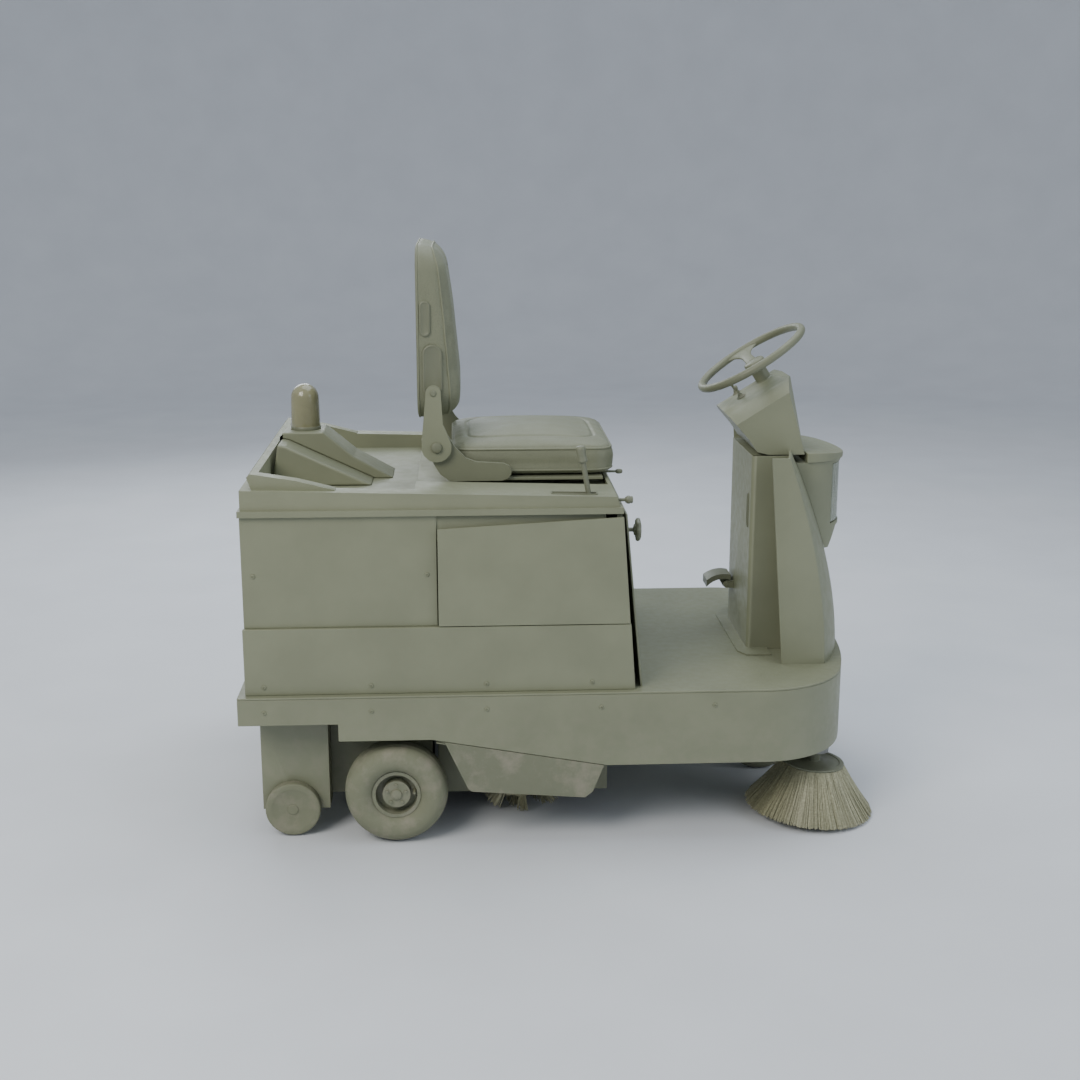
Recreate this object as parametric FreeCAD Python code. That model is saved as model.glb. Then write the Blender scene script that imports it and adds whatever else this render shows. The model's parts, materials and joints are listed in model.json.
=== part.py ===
import FreeCAD, Part
import math
import os

# Ride-on sweeper. Millimetres. +X is forward, +Y is the driver's left, +Z is up.
# Inside this script x runs forward from the chassis rear face and z up from the ground.
# Parts are shifted on export, so the origin is the bottom centre of the whole machine.

V = FreeCAD.Vector

# ---- driving sizes ------------------------------------------------------------------
CHASSIS_LENGTH = 1450.0
CHASSIS_WIDTH = 873.0
SHEET = 5.0
RAIL = 40.0
NOSE_LENGTH = 250.0
CORNER_R = 215.0
SKIRT_REAR_DROP = 66.0
SKIRT_FRONT_DROP = 177.0
LEG_BAY_X = 224.0
SKIRT_SLOPE_X0 = 434.0
SKIRT_SLOPE_X1 = 835.0

BODY_LENGTH = 882.0
BODY_REAR_X = 17.0
BODY_INSET = 17.5
PANEL = 4.0
BAND_H = 155.0
BODY_TOP_REAR = 469.0
BODY_TOP_FRONT = 446.0
FASCIA_BOTTOM = 410.0
FRONT_LEAN = 30.0
PANEL_RECESS = 10.0
DOOR_X = 454.0
DOOR_TOP_REAR = 380.0
DOOR_TOP_FRONT = 403.0
TRAY_FLOOR = 425.0
TRAY_RIM = 60.0
TRAY_RIM_TOP = 503.0
FASCIA_INSET = 8.0
FLANGE_H = 14.0
RIM_INSET = 25.0
SEAT_DECK = 435.0
PEDESTAL_H = 113.0

TYRE_R = 119.0
TYRE_HALF = 48.0
REAR_AXLE_X = 350.5
STUB_R = 14.0
HUB_R = 50.0

FRONT_TYRE_R = 100.0
FRONT_TYRE_HALF = 34.0
FRONT_BEAD_R = 50.0
KINGPIN_SETBACK = 175.0
KINGPIN_R = 15.0
FORK_GAP = 8.0
FORK_WALL = 8.0

BROOM_X = 645.0
BROOM_R = 145.0
BROOM_CORE_R = 60.0
BROOM_SHAFT_R = 12.0
SIDE_BAY = 156.5
HOUSING_Z0 = 65.0

HOPPER_X0 = 36.0
HOPPER_Z0 = 65.0
LEG_X1 = 192.0
LEG_Z0 = 59.0
LEG_W = 72.0
ROLLER_X = 107.5
ROLLER_R = 64.0
ROLLER_W = 25.0
ROLLER_GAP = 3.0
AIR_X = 230.0
AIR_HALF = 70.0

BRUSH_SETBACK = 108.0
BRUSH_R = 155.0
BRUSH_TOP_R = 75.0
BRUSH_H = 112.0
BRUSH_RING = 22.0
BRUSH_TILT = 4.0
BRUSH_ARM = 192.0
BRUSH_MOTOR_R = 34.0

COLUMN_SETBACK = 244.0
COLUMN_DEPTH = 92.0
COLUMN_HALF = 137.0
COLUMN_H = 484.0
COWL_HALF = 258.0
COWL_H = 500.0
COWL_WALL = 6.0
LAMP_SETBACK = 112.0
LAMP_TOP = 466.0
LAMP_DEPTH = 216.0
LAMP_GLASS = 100.0
LAMP_HALF = 140.0
LAMP_REACH = 117.0

WHEEL_R = 138.0
WHEEL_TUBE = 10.0
WHEEL_TILT = 32.0
SPOKE_W = 27.0
SHAFT_R = 12.0
CONSOLE_HALF = 132.0
CONSOLE_CROWN = 285.0

SEAT_X0 = 475.0
SEAT_LENGTH = 393.0
SEAT_HALF = 222.0
SEAT_LIFT = 22.0
SEAT_THICK = 104.0
BACK_THICK = 98.0
BACK_H = 407.0
ARM_THICK = 12.0
ARM_REACH = 125.0
RECLINE_R = 9.0

LEVER_PIVOT_X = 814.0
LEVER_DROP = 85.0
STEM_R = 5.0
PULL_R = 4.0
HINGE_PIN_R = 2.5

# ---- clearances ---------------------------------------------------------------------
GAP = 1.0           # between pieces of one body that only meet
RUN = 0.05          # radial clearance of a running fit
FREE = 2.0          # between pieces that move past each other
OVERLAP = 12.0      # how far a lapped sheet runs behind its neighbour
BROOM_ROOM = 26.0   # over the broom, inside its housing
BROOM_FRONT = 60.0  # ahead of the broom, out to the housing's front wall
BROOM_REAR = 55.0   # behind the broom, out to the housing's rear wall
TYRE_ROOM = 20.0    # between the rear tyre and the skirt over it
TYRE_SIDE = 3.5     # between the rear tyre and the skirt beside it

# ---- places that follow -------------------------------------------------------------
HALF = CHASSIS_WIDTH / 2.0
BODY_HALF = HALF - BODY_INSET
HOUSING_HALF = HALF - SIDE_BAY
HOPPER_HALF = HOUSING_HALF - OVERLAP
LEG_IN = HOPPER_HALF + 5.0
LEG_OUT = LEG_IN + LEG_W
REAR_WHEEL_Y = HALF - TYRE_SIDE - TYRE_HALF
AXLE_Z = TYRE_R
FRONT_AXLE_Z = FRONT_TYRE_R
BROOM_Z = BROOM_R + FREE
HOUSING_TOP = BROOM_Z + BROOM_R + BROOM_ROOM
HOUSING_X0 = BROOM_X - BROOM_R - BROOM_REAR
HOUSING_X1 = BROOM_X + BROOM_R + BROOM_FRONT
HOPPER_X1 = HOUSING_X0 - 13.0
HOPPER_TOP = HOUSING_TOP - 25.0
DECK_Z = HOUSING_TOP + FREE + RAIL + SHEET

CORNER_START = CHASSIS_LENGTH - NOSE_LENGTH
KINGPIN_X = CHASSIS_LENGTH - KINGPIN_SETBACK
COLUMN_X0 = CHASSIS_LENGTH - COLUMN_SETBACK
COLUMN_X1 = COLUMN_X0 + COLUMN_DEPTH
LAMP_X = CHASSIS_LENGTH - LAMP_SETBACK
WHEEL_X = COLUMN_X0 + 15.0
WHEEL_Z = DECK_Z + COLUMN_H + 220.0
BRUSH_X = CHASSIS_LENGTH - BRUSH_SETBACK
BRUSH_Y = -HOUSING_HALF
BRUSH_PIVOT_X = BRUSH_X - BRUSH_ARM
BRUSH_PIVOT_Z = BRUSH_H + 93.0

SEAT_X1 = SEAT_X0 + SEAT_LENGTH
SEAT_Z0 = DECK_Z + SEAT_DECK + SEAT_LIFT
SEAT_Z1 = SEAT_Z0 + SEAT_THICK
RECLINE_X = SEAT_X0 - 22.0
RECLINE_Z = SEAT_Z0 + 75.0
BACK_X0 = RECLINE_X - 46.0
BACK_X1 = BACK_X0 + BACK_THICK
BACK_HALF = SEAT_HALF - 8.0
BACK_Z0 = RECLINE_Z + 52.0
BACK_Z1 = BACK_Z0 + BACK_H
RELEASE_Y = -SEAT_HALF + 72.0

LEVER_Y = -HALF + 56.5
LEVER_PIVOT_Z = DECK_Z + FASCIA_BOTTOM - LEVER_DROP
KNOB_Y = -HALF + 136.5
KNOB_Z = DECK_Z + 346.0
PULL_Y = -HALF + 64.5
PULL_Z = DECK_Z + 432.0

BRUSH_FRONT = BRUSH_X + BRUSH_R * math.cos(math.radians(BRUSH_TILT))
SHIFT_X = -max(BRUSH_FRONT, CHASSIS_LENGTH) / 2.0
TILT = math.radians(WHEEL_TILT)
AXIS = V(-math.sin(TILT), 0, math.cos(TILT))
UP = V(0, 0, 1)
ALONG_X = V(1, 0, 0)
ALONG_Y = V(0, 1, 0)


# ---- helpers ------------------------------------------------------------------------
def box(x0, x1, y0, y1, z0, z1):
    """A block between two corners."""
    return Part.makeBox(x1 - x0, y1 - y0, z1 - z0, V(x0, y0, z0))


def rod(centre, axis, radius, start, end):
    """A cylinder about axis through centre, from start to end along it."""
    base = centre + axis * start
    return Part.makeCylinder(radius, end - start, base, axis)


def tube(centre, axis, outer, inner, start, end):
    """A cylinder with a bore right through."""
    bore = rod(centre, axis, inner, start - 1.0, end + 1.0)
    return rod(centre, axis, outer, start, end).cut(bore)


def slab_y(points, y0, y1):
    """A flat piece whose outline is given in x and z, between two y planes."""
    wire = Part.makePolygon([V(x, y0, z) for x, z in points + points[:1]])
    return Part.Face(wire).extrude(V(0, y1 - y0, 0))


def prism_z(points, z0, z1):
    """A flat piece whose outline is given in x and y, between two heights."""
    wire = Part.makePolygon([V(x, y, z0) for x, y in points + points[:1]])
    return Part.Face(wire).extrude(V(0, 0, z1 - z0))


def turned(points, centre, axis):
    """A ring or disc: the outline in (radius, distance along axis) turned about axis."""
    flat = Part.makePolygon([V(r, 0, s) for r, s in points + points[:1]])
    solid = Part.Face(flat).revolve(V(0, 0, 0), UP, 360)
    spin = FreeCAD.Rotation(UP, axis)
    solid.Placement = FreeCAD.Placement(centre, spin)
    return Part.Solid(solid) if solid.ShapeType != "Solid" else solid


def mirror_y(shape):
    """The same piece on the other side of the machine."""
    return shape.mirror(V(0, 0, 0), ALONG_Y)


def pair(shape):
    """A piece and its mirror image, kept as two solids."""
    return Part.makeCompound([shape, mirror_y(shape)])


def export(name, shape):
    """Shift a piece to the machine's frame and write it."""
    moved = shape.copy()
    moved.translate(V(SHIFT_X, 0, 0))
    moved.exportStep("parts/" + name + ".step")


def round_edges(shape, radius, test):
    """Round the edges whose middle point passes test."""
    edges = [e for e in shape.Edges if test(e)]
    return shape.makeFillet(radius, edges)


def middle(edge):
    """The point half way along an edge."""
    return edge.valueAt((edge.FirstParameter + edge.LastParameter) / 2.0)


# ---- chassis ------------------------------------------------------------------------
def deck_outline(inset, x_rear, z):
    """Plan of the deck: straight sides, a corner arc, then a flatter arc across the nose.
    The two arcs are tangent to each other, and the nose arc is centred on y = 0."""
    half = HALF - inset
    corner = CORNER_R - inset
    rest = half - corner
    bulge = CHASSIS_LENGTH - CORNER_START - CORNER_R
    ratio = (rest / bulge) ** 2
    sine = (ratio - 1.0) / (ratio + 1.0)
    angle = math.asin(sine)
    nose = CHASSIS_LENGTH - inset

    def at(a, side):
        x = CORNER_START + corner * math.sin(a)
        return V(x, side * (rest + corner * math.cos(a)), z)

    right = Part.Arc(at(0, -1), at(angle / 2, -1), at(angle, -1)).toShape()
    front = Part.Arc(at(angle, -1), V(nose, 0, z), at(angle, 1)).toShape()
    left = Part.Arc(at(angle, 1), at(angle / 2, 1), at(0, 1)).toShape()
    corners = [at(0, 1), V(x_rear, half, z), V(x_rear, -half, z), at(0, -1)]
    spans = [(a, b) for a, b in zip(corners, corners[1:]) if (b - a).Length > 0.001]
    sides = [Part.makeLine(a, b) for a, b in spans]
    return Part.Face(Part.Wire([right, front, left] + sides))


def deck():
    """Flat chassis plate with the air port over the hopper and the kingpin hole."""
    plate = deck_outline(0.0, 0.0, DECK_Z - SHEET).extrude(V(0, 0, SHEET))
    port = box(AIR_X - AIR_HALF, AIR_X + AIR_HALF, -AIR_HALF, AIR_HALF,
               DECK_Z - 2 * SHEET, DECK_Z + SHEET)
    hole = rod(V(KINGPIN_X, 0, 0), UP, KINGPIN_R + 10, DECK_Z - 2 * SHEET, DECK_Z + SHEET)
    return plate.cut(port).cut(hole)


def skirt_bottom(x):
    """Height of the side skirt's lower edge over the sloping stretch."""
    share = (x - SKIRT_SLOPE_X0) / (SKIRT_SLOPE_X1 - SKIRT_SLOPE_X0)
    start = 2 * TYRE_R + TYRE_ROOM
    return start + share * (DECK_Z - SKIRT_FRONT_DROP - start)


def skirts():
    """Side plates stepped over the wheel, the wall round the nose, and the rear strip."""
    top = DECK_Z - SHEET
    rear = DECK_Z - SKIRT_REAR_DROP
    wheel = skirt_bottom(SKIRT_SLOPE_X0)
    front = DECK_Z - SKIRT_FRONT_DROP
    outline = [
        (0.0, rear), (LEG_BAY_X, rear), (LEG_BAY_X, wheel), (SKIRT_SLOPE_X0, wheel),
        (SKIRT_SLOPE_X1, front), (CORNER_START, front), (CORNER_START, top), (0.0, top),
    ]
    side = slab_y(outline, -HALF, -HALF + SHEET)
    outer = deck_outline(0.0, CORNER_START, front).extrude(V(0, 0, top - front))
    inner = deck_outline(SHEET, CORNER_START - SHEET, front - 1)
    nose = outer.cut(inner.extrude(V(0, 0, top - front + 2)))
    strip = box(0, SHEET, -HALF + SHEET, HALF - SHEET, rear, top)
    return Part.makeCompound([side, mirror_y(side), nose, strip])


def ladder_frame():
    """Two box rails under the deck with three cross members between them."""
    rail_w = RAIL
    z0 = DECK_Z - SHEET - rail_w
    z1 = DECK_Z - SHEET
    y_in = HOUSING_HALF
    rail = box(20, CORNER_START - 20, -y_in - rail_w, -y_in, z0, z1)
    bore = box(19, CORNER_START - 19, -y_in - rail_w + 3, -y_in - 3, z0 + 3, z1 - 3)
    rail = rail.cut(bore)
    places = (60.0, HOUSING_X0 - 20.0, HOUSING_X1 + 60.0)
    cross = [box(x, x + rail_w, -y_in, y_in, z0 + 4, z1) for x in places]
    return Part.makeCompound([rail, mirror_y(rail)] + cross + [brush_bracket()])


def broom_housing():
    """Box over the main broom, open below, with a throw port into the hopper."""
    w = PANEL
    outer = box(HOUSING_X0, HOUSING_X1, -HOUSING_HALF, HOUSING_HALF, HOUSING_Z0, HOUSING_TOP)
    inner = box(HOUSING_X0 + w, HOUSING_X1 - w, -HOUSING_HALF + w, HOUSING_HALF - w,
                HOUSING_Z0 - w, HOUSING_TOP - w)
    port = box(HOUSING_X0 - w, HOUSING_X0 + 2 * w, -HOPPER_HALF + 20, HOPPER_HALF - 20,
               HOUSING_Z0 - w, HOPPER_TOP - 90)
    shaft = rod(V(BROOM_X, 0, BROOM_Z), ALONG_Y, BROOM_SHAFT_R + RUN,
                -HOUSING_HALF - w, HOUSING_HALF + w)
    return outer.cut(inner).cut(port).cut(shaft)


def side_flaps():
    """Rubber flaps that close the broom chamber at each side, under the sloping skirt."""
    thick = 6.0
    x0 = SKIRT_SLOPE_X0 + 10
    x1 = SKIRT_SLOPE_X1 - 8
    high = skirt_bottom(x0)
    low = skirt_bottom(x1)
    hang = [
        (x0, high - GAP), (x0 + 20, high - 6), (x0 + 71, low - 51), (x0 + 80, low - 59),
        (x1 - 43, low - 79), (x1 - 25, low - 65), (x1, low - GAP),
    ]
    tail = slab_y(hang, -HALF, -HALF + thick)
    lip = [
        (x0, high - GAP), (x1, low - GAP), (x1, low + OVERLAP), (x0, high + OVERLAP),
    ]
    inside = slab_y(lip, -HALF + SHEET, -HALF + SHEET + thick)
    lap = [(x0, high - 7 * GAP), (x1, low - 7 * GAP), (x1, low - 4 * GAP), (x0, high - 4 * GAP)]
    join = slab_y(lap, -HALF + GAP, -HALF + SHEET + thick)
    return pair(tail.fuse(inside).fuse(join).removeSplitter())


# ---- body ---------------------------------------------------------------------------
def body_front(z):
    """x of the body's front edge, which leans back as it rises from the deck."""
    return BODY_REAR_X + BODY_LENGTH - FRONT_LEAN * (z - DECK_Z) / FASCIA_BOTTOM


def top_line(x):
    """Height of the fascia's top edge, which falls gently towards the front."""
    share = (x - BODY_REAR_X) / BODY_LENGTH
    return DECK_Z + BODY_TOP_REAR + share * (BODY_TOP_FRONT - BODY_TOP_REAR)


def lower_panels():
    """The tall band round the foot of the body, one plate each side."""
    z0 = DECK_Z
    z1 = DECK_Z + BAND_H
    shape = [(BODY_REAR_X, z0), (body_front(z0), z0), (body_front(z1), z1), (BODY_REAR_X, z1)]
    return pair(slab_y(shape, -BODY_HALF, -BODY_HALF + PANEL + PANEL_RECESS))


def rear_side_panels():
    """The upper side plates behind the doors, each with a header strip that backs the door's top."""
    z0 = DECK_Z + BAND_H
    z1 = DECK_Z + FASCIA_BOTTOM
    y0 = -BODY_HALF + PANEL_RECESS
    plate = box(BODY_REAR_X + 3, DOOR_X - FREE, y0, y0 + PANEL, z0, z1)
    header = box(DOOR_X - 24, body_front(z1) - 40, y0 + PANEL, y0 + 2 * PANEL,
                 DECK_Z + DOOR_TOP_REAR - 30, z1)
    return pair(plate.fuse(header).removeSplitter())


def rear_panel():
    """Plate that closes the back of the body between the side plates."""
    y = BODY_HALF - PANEL - PANEL_RECESS - GAP
    z1 = DECK_Z + FASCIA_BOTTOM
    plate = box(BODY_REAR_X + 3, BODY_REAR_X + 3 + PANEL, -y, y, DECK_Z, z1)
    for row in range(6):
        z = DECK_Z + 220 + row * 22.0
        plate = plate.cut(box(BODY_REAR_X, BODY_REAR_X + 20, -150, 150, z, z + 9))
    return plate


def front_panel():
    """Leaning plate behind the driver's heels."""
    y = BODY_HALF - 22.0
    z1 = DECK_Z + FASCIA_BOTTOM - 6
    x0 = body_front(DECK_Z) + 14.0
    x1 = body_front(z1) + 4.0
    shape = [(x0, DECK_Z), (x0 + PANEL, DECK_Z), (x1 + PANEL, z1), (x1, z1)]
    hole = rod(V(x1 - 20, KNOB_Y, KNOB_Z), ALONG_X, STEM_R + RUN, 0, 60)
    return slab_y(shape, -y, y).cut(hole)


def front_frame():
    """Inner bulkhead that carries the door hinges and the seat deck's front edge."""
    y = BODY_HALF - PANEL - PANEL_RECESS - GAP
    z1 = DECK_Z + FASCIA_BOTTOM - 6
    x0 = body_front(DECK_Z) - 34.0
    x1 = body_front(z1) - 16.0
    shape = [(x0, DECK_Z), (x0 + 12, DECK_Z), (x1 + 12, z1), (x1, z1)]
    plate = slab_y(shape, -y, y)
    return plate.fuse([lever_bracket()] + door_hinge_ears()).removeSplitter()


def hinge_places():
    """Foot points of the right door's two hinge barrels, and the barrels' leaning axis."""
    low = DECK_Z + BAND_H
    axis = (V(body_front(low + 100), 0, low + 100) - V(body_front(low), 0, low)).normalize()
    inside = -BODY_HALF - FREE + PANEL + HINGE_PIN_R + 1.9
    points = [V(body_front(z) - FREE - 6, inside, z) for z in (low + 45, low + 165)]
    return points, axis


def door_hinge_ears():
    """Ears and upright pins on the bulkhead that carry both doors."""
    y_in = BODY_HALF - PANEL - PANEL_RECESS - GAP
    points, axis = hinge_places()
    ears = []
    for point in points:
        pin = rod(point, axis, HINGE_PIN_R, -8, 38)
        ear = box(point.x - 22, point.x + 3, point.y - 2, -y_in + 6, point.z - 8, point.z - GAP)
        ears.append(ear.fuse(pin))
    return ears + [mirror_y(ear) for ear in ears]


def door(side):
    """Side access door, standing proud of the rear side panel; its top edge rises forward."""
    z0 = DECK_Z + BAND_H + FREE
    rear_top = DECK_Z + DOOR_TOP_REAR
    front_top = DECK_Z + DOOR_TOP_FRONT
    x_top = body_front(front_top) - FREE
    shape = [(DOOR_X, z0), (body_front(z0) - FREE, z0), (x_top, front_top), (DOOR_X, rear_top)]
    y0 = -BODY_HALF - FREE
    skin = slab_y(shape, y0, y0 + PANEL)
    rib = slab_y([(DOOR_X + 25, z0 + 25), (x_top - 45, z0 + 25),
                  (x_top - 45, front_top - 45), (DOOR_X + 25, rear_top - 25)],
                 y0 + PANEL, y0 + 3 * PANEL)
    points, axis = hinge_places()
    barrels = [rod(p, axis, HINGE_PIN_R + 2, 0, 40) for p in points]
    shape = skin.fuse([rib] + barrels)
    for point in points:
        shape = shape.cut(rod(point, axis, HINGE_PIN_R + RUN, -GAP, 41))
    shape = shape.removeSplitter()
    return shape if side < 0 else mirror_y(shape)


def top_cover():
    """Moulded lid: a flange over the doors, an inset fascia, a raised rim round the rear tray,
    and the seat deck."""
    y = BODY_HALF
    x0 = BODY_REAR_X
    x1 = BODY_REAR_X + BODY_LENGTH - FRONT_LEAN - 2
    fascia_z = DECK_Z + FASCIA_BOTTOM
    flange_z = fascia_z + FLANGE_H
    rim_top = DECK_Z + TRAY_RIM_TOP
    rise_x = x0 + 213.0
    flange = slab_y([(x0, fascia_z), (x1, fascia_z), (x1 - 1, flange_z), (x0, flange_z)], -y, y)
    fascia = slab_y([(x0 + 6, fascia_z), (x1 - 2, fascia_z), (x1 - 14, top_line(x1)),
                     (x0 + 6, top_line(x0))], -y + FASCIA_INSET, y - FASCIA_INSET)
    coaming = slab_y([(x0 + 31, top_line(x0) - 2), (x0 + 21, rim_top - 8), (x0 + 29, rim_top),
                      (x0 + 128, DECK_Z + 487), (rise_x, top_line(rise_x) + 2),
                      (rise_x, top_line(rise_x) - 2)], -y + RIM_INSET, y - RIM_INSET)
    block = flange.fuse([fascia, coaming])
    tray_z = DECK_Z + TRAY_FLOOR
    deck_z = DECK_Z + SEAT_DECK
    rim = TRAY_RIM
    tray = box(x0 + 44, SEAT_X0 - 70, -y + rim, y - rim, tray_z, rim_top + 50)
    seat_bay = box(SEAT_X0 - 71, x1 - 22, -SEAT_HALF - 50, SEAT_HALF + 50, deck_z, rim_top)
    under = box(x0 + 6 + PANEL, x1 - PANEL - 8, -y + FASCIA_INSET + PANEL,
                y - FASCIA_INSET - PANEL, fascia_z - 1, tray_z - PANEL)
    slot = box(LEVER_PIVOT_X - 103, LEVER_PIVOT_X - 6, LEVER_Y - 9, LEVER_Y + 9,
               fascia_z, rim_top)
    pull = rod(V(x1 - 40, PULL_Y, PULL_Z), ALONG_X, PULL_R + RUN, 0, 60)
    return block.cut(tray).cut(seat_bay).cut(under).cut(slot).cut(pull).removeSplitter()


def dust_cover():
    """Wedge over the filter: steep at the back, long slope to the front, closed."""
    floor = DECK_Z + TRAY_FLOOR
    x0 = BODY_REAR_X
    shape = [(x0 + 46, floor), (x0 + 62, floor + 100), (x0 + 81, floor + 95), (x0 + 283, floor)]
    return slab_y(shape, -152.0, 152.0)


def beacon_pedestal():
    """Fin on the wedge that lifts the beacon: flat top, sloping front, joined along the wedge."""
    floor = DECK_Z + TRAY_FLOOR
    top = floor + PEDESTAL_H
    x0 = BODY_REAR_X
    shape = [(x0 + 45, floor + 45), (x0 + 64, top), (x0 + 161, top), (x0 + 233, floor + 53),
             (x0 + 328, floor), (x0 + 283, floor)]
    wedge = dust_cover()
    return slab_y(shape, -62.0, 62.0).cut(wedge)


def beacon_lens():
    """Dome of the warning beacon: a cylinder closed by a half sphere, hollow."""
    foot = V(BODY_REAR_X + 115.0, 0, DECK_Z + TRAY_FLOOR + PEDESTAL_H)
    radius = 36.0
    height = 74.0

    def dome(r, h, z):
        ball = Part.makeSphere(r, foot + V(0, 0, z + h))
        return rod(foot, UP, r, z, z + h).fuse(ball.common(rod(foot, UP, r, z + h, z + h + r)))

    return dome(radius, height, 0).cut(dome(radius - 3, height, 3))


# ---- driver's station ---------------------------------------------------------------
def steering_column():
    """Hollow upright on a raised foot; the lower steering shaft runs inside it."""
    z0 = DECK_Z
    z1 = DECK_Z + COLUMN_H
    outer = box(COLUMN_X0, COLUMN_X1, -COLUMN_HALF, COLUMN_HALF, z0, z1)
    outer = round_edges(outer, 12, lambda e: abs(middle(e).x - COLUMN_X0) < 1 and
                    abs(middle(e).z - (z0 + z1) / 2) < 1)
    foot = prism_z([(COLUMN_X0 - 26, -COLUMN_HALF - 20), (COLUMN_X0 - 8, -COLUMN_HALF - 52),
                    (COLUMN_X1 - 40, -COLUMN_HALF - 52), (COLUMN_X1 - 40, COLUMN_HALF + 52),
                    (COLUMN_X0 - 8, COLUMN_HALF + 52), (COLUMN_X0 - 26, COLUMN_HALF + 20)],
                   z0, z0 + 4)
    inner = box(COLUMN_X0 + PANEL, COLUMN_X1 - PANEL, -COLUMN_HALF + PANEL, COLUMN_HALF - PANEL,
                z0 - 1, z1 + 1)
    return outer.fuse(foot).cut(inner).fuse(pedal_bracket()).removeSplitter()


def cowl_section(height, inset):
    """Plan of the cowl at a height over the deck: two straight cheeks joined by one arc."""
    share = max(height, 0.0) / COWL_H
    rear = CHASSIS_LENGTH - 181.0 - 40.0 * share - (12.0 if inset else 0.0)
    cheek = CHASSIS_LENGTH - 78.0 - 102.0 * share ** 1.8 - inset * 0.5
    nose = CHASSIS_LENGTH - 3.0 - 141.0 * share ** 1.8 - inset
    half = COWL_HALF - inset
    z = DECK_Z + height
    arc = Part.Arc(V(cheek, -half, z), V(nose, 0, z), V(cheek, half, z)).toShape()
    points = [V(cheek, half, z), V(rear, half, z), V(rear, -half, z), V(cheek, -half, z)]
    sides = [Part.makeLine(a, b) for a, b in zip(points, points[1:])]
    return Part.Wire([arc] + sides)


def cowl_block(inset, over):
    """The cowl as a full block, drawn in by inset and reaching over past its two ends."""
    steps = 6
    heights = [(COWL_H + 2 * over) * i / steps - over for i in range(steps + 1)]
    return Part.makeLoft([cowl_section(h, inset) for h in heights], True, False)


def front_cowl():
    """Fender in front of the column: U-shaped in plan, leaning back as it rises, open behind
    and on top, with room for the column and the dash."""
    shell = cowl_block(0.0, 0.0).cut(cowl_block(COWL_WALL, 1.0))
    gap = box(COLUMN_X0 - 60, COLUMN_X1 + GAP, -COLUMN_HALF - GAP, COLUMN_HALF + GAP,
              DECK_Z - 20, DECK_Z + COWL_H + 50)
    room = box(COLUMN_X0 - 60, LAMP_X + 20, -CONSOLE_HALF - FREE, CONSOLE_HALF + FREE,
               DECK_Z + COLUMN_H - FREE, DECK_Z + COWL_H + 50)
    return shell.cut(gap).cut(room)


def lamp_outline(inset, z):
    """Plan of the headlamp pod: straight back, half ellipse forward."""
    ellipse = Part.Ellipse(V(LAMP_X, 0, z), LAMP_HALF - inset, LAMP_REACH - inset)
    arc = ellipse.toShape(math.pi, 2 * math.pi)
    arc.rotate(V(LAMP_X, 0, z), UP, 90)
    back = Part.makeLine(arc.Vertexes[-1].Point, arc.Vertexes[0].Point)
    return Part.Wire([arc, back])


def headlamp_housing():
    """Pod on the nose: a half-elliptic drum that sits on the cowl, hollow behind its window."""
    z1 = DECK_Z + LAMP_TOP
    z0 = z1 - LAMP_DEPTH
    x = LAMP_X
    reach = LAMP_HALF + 60
    drum = Part.Face(lamp_outline(6.0, z0)).extrude(V(0, 0, z1 - z0))
    drum = drum.fuse(box(x - 40, x, -LAMP_HALF + 6, LAMP_HALF - 6, z0, z1))
    chin = slab_y([(x + 68, z0 - 1), (x + 93, z0 + 49), (x + 140, z0 + 49), (x + 140, z0 - 1)],
                  -reach, reach)
    band = drum.cut(Part.Face(lamp_outline(14.0, z0 - 1)).extrude(V(0, 0, LAMP_DEPTH + 2)))
    mouth = band.common(box(x + 40, x + 160, -LAMP_GLASS - 2, LAMP_GLASS + 2, z0 + 58, z1 - 8))
    bowl = Part.Face(lamp_outline(14.5, z0 + 70)).extrude(V(0, 0, LAMP_DEPTH - 90))
    bowl = bowl.common(box(x + 30, x + 160, -LAMP_GLASS + 20, LAMP_GLASS - 20, z0, z1))
    bowl = bowl.fuse(mouth)
    body = drum.cut(chin).cut(cowl_block(-GAP / 2, 5.0)).cut(bowl)
    return Part.Solid(max(body.Solids, key=lambda solid: solid.Volume))


def headlamp_hood():
    """Domed lid of the headlamp pod: the drum's outline under a shallow barrel."""
    z0 = DECK_Z + LAMP_TOP
    block = Part.Face(lamp_outline(0.0, z0)).extrude(V(0, 0, 26))
    radius = 440.0
    barrel = rod(V(LAMP_X + 7, 0, z0 + 24 - radius), ALONG_Y, radius, -LAMP_HALF, LAMP_HALF)
    return block.common(barrel)


def headlamp_lens():
    """Clear window wrapped round the front of the pod."""
    z1 = DECK_Z + LAMP_TOP
    z0 = z1 - LAMP_DEPTH
    outer = Part.Face(lamp_outline(8.0, z0 + 60)).extrude(V(0, 0, LAMP_DEPTH - 70))
    core = Part.Face(lamp_outline(13.5, z0 + 59)).extrude(V(0, 0, LAMP_DEPTH - 68))
    return outer.cut(core).common(box(LAMP_X + 41, LAMP_X + 160, -LAMP_GLASS, LAMP_GLASS, z0, z1))


def console_side(points, half):
    """A flat piece of the console: its side view from the column's rear face and top."""
    return slab_y([(COLUMN_X0 + x, DECK_Z + COLUMN_H + z) for x, z in points], -half, half)


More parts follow.
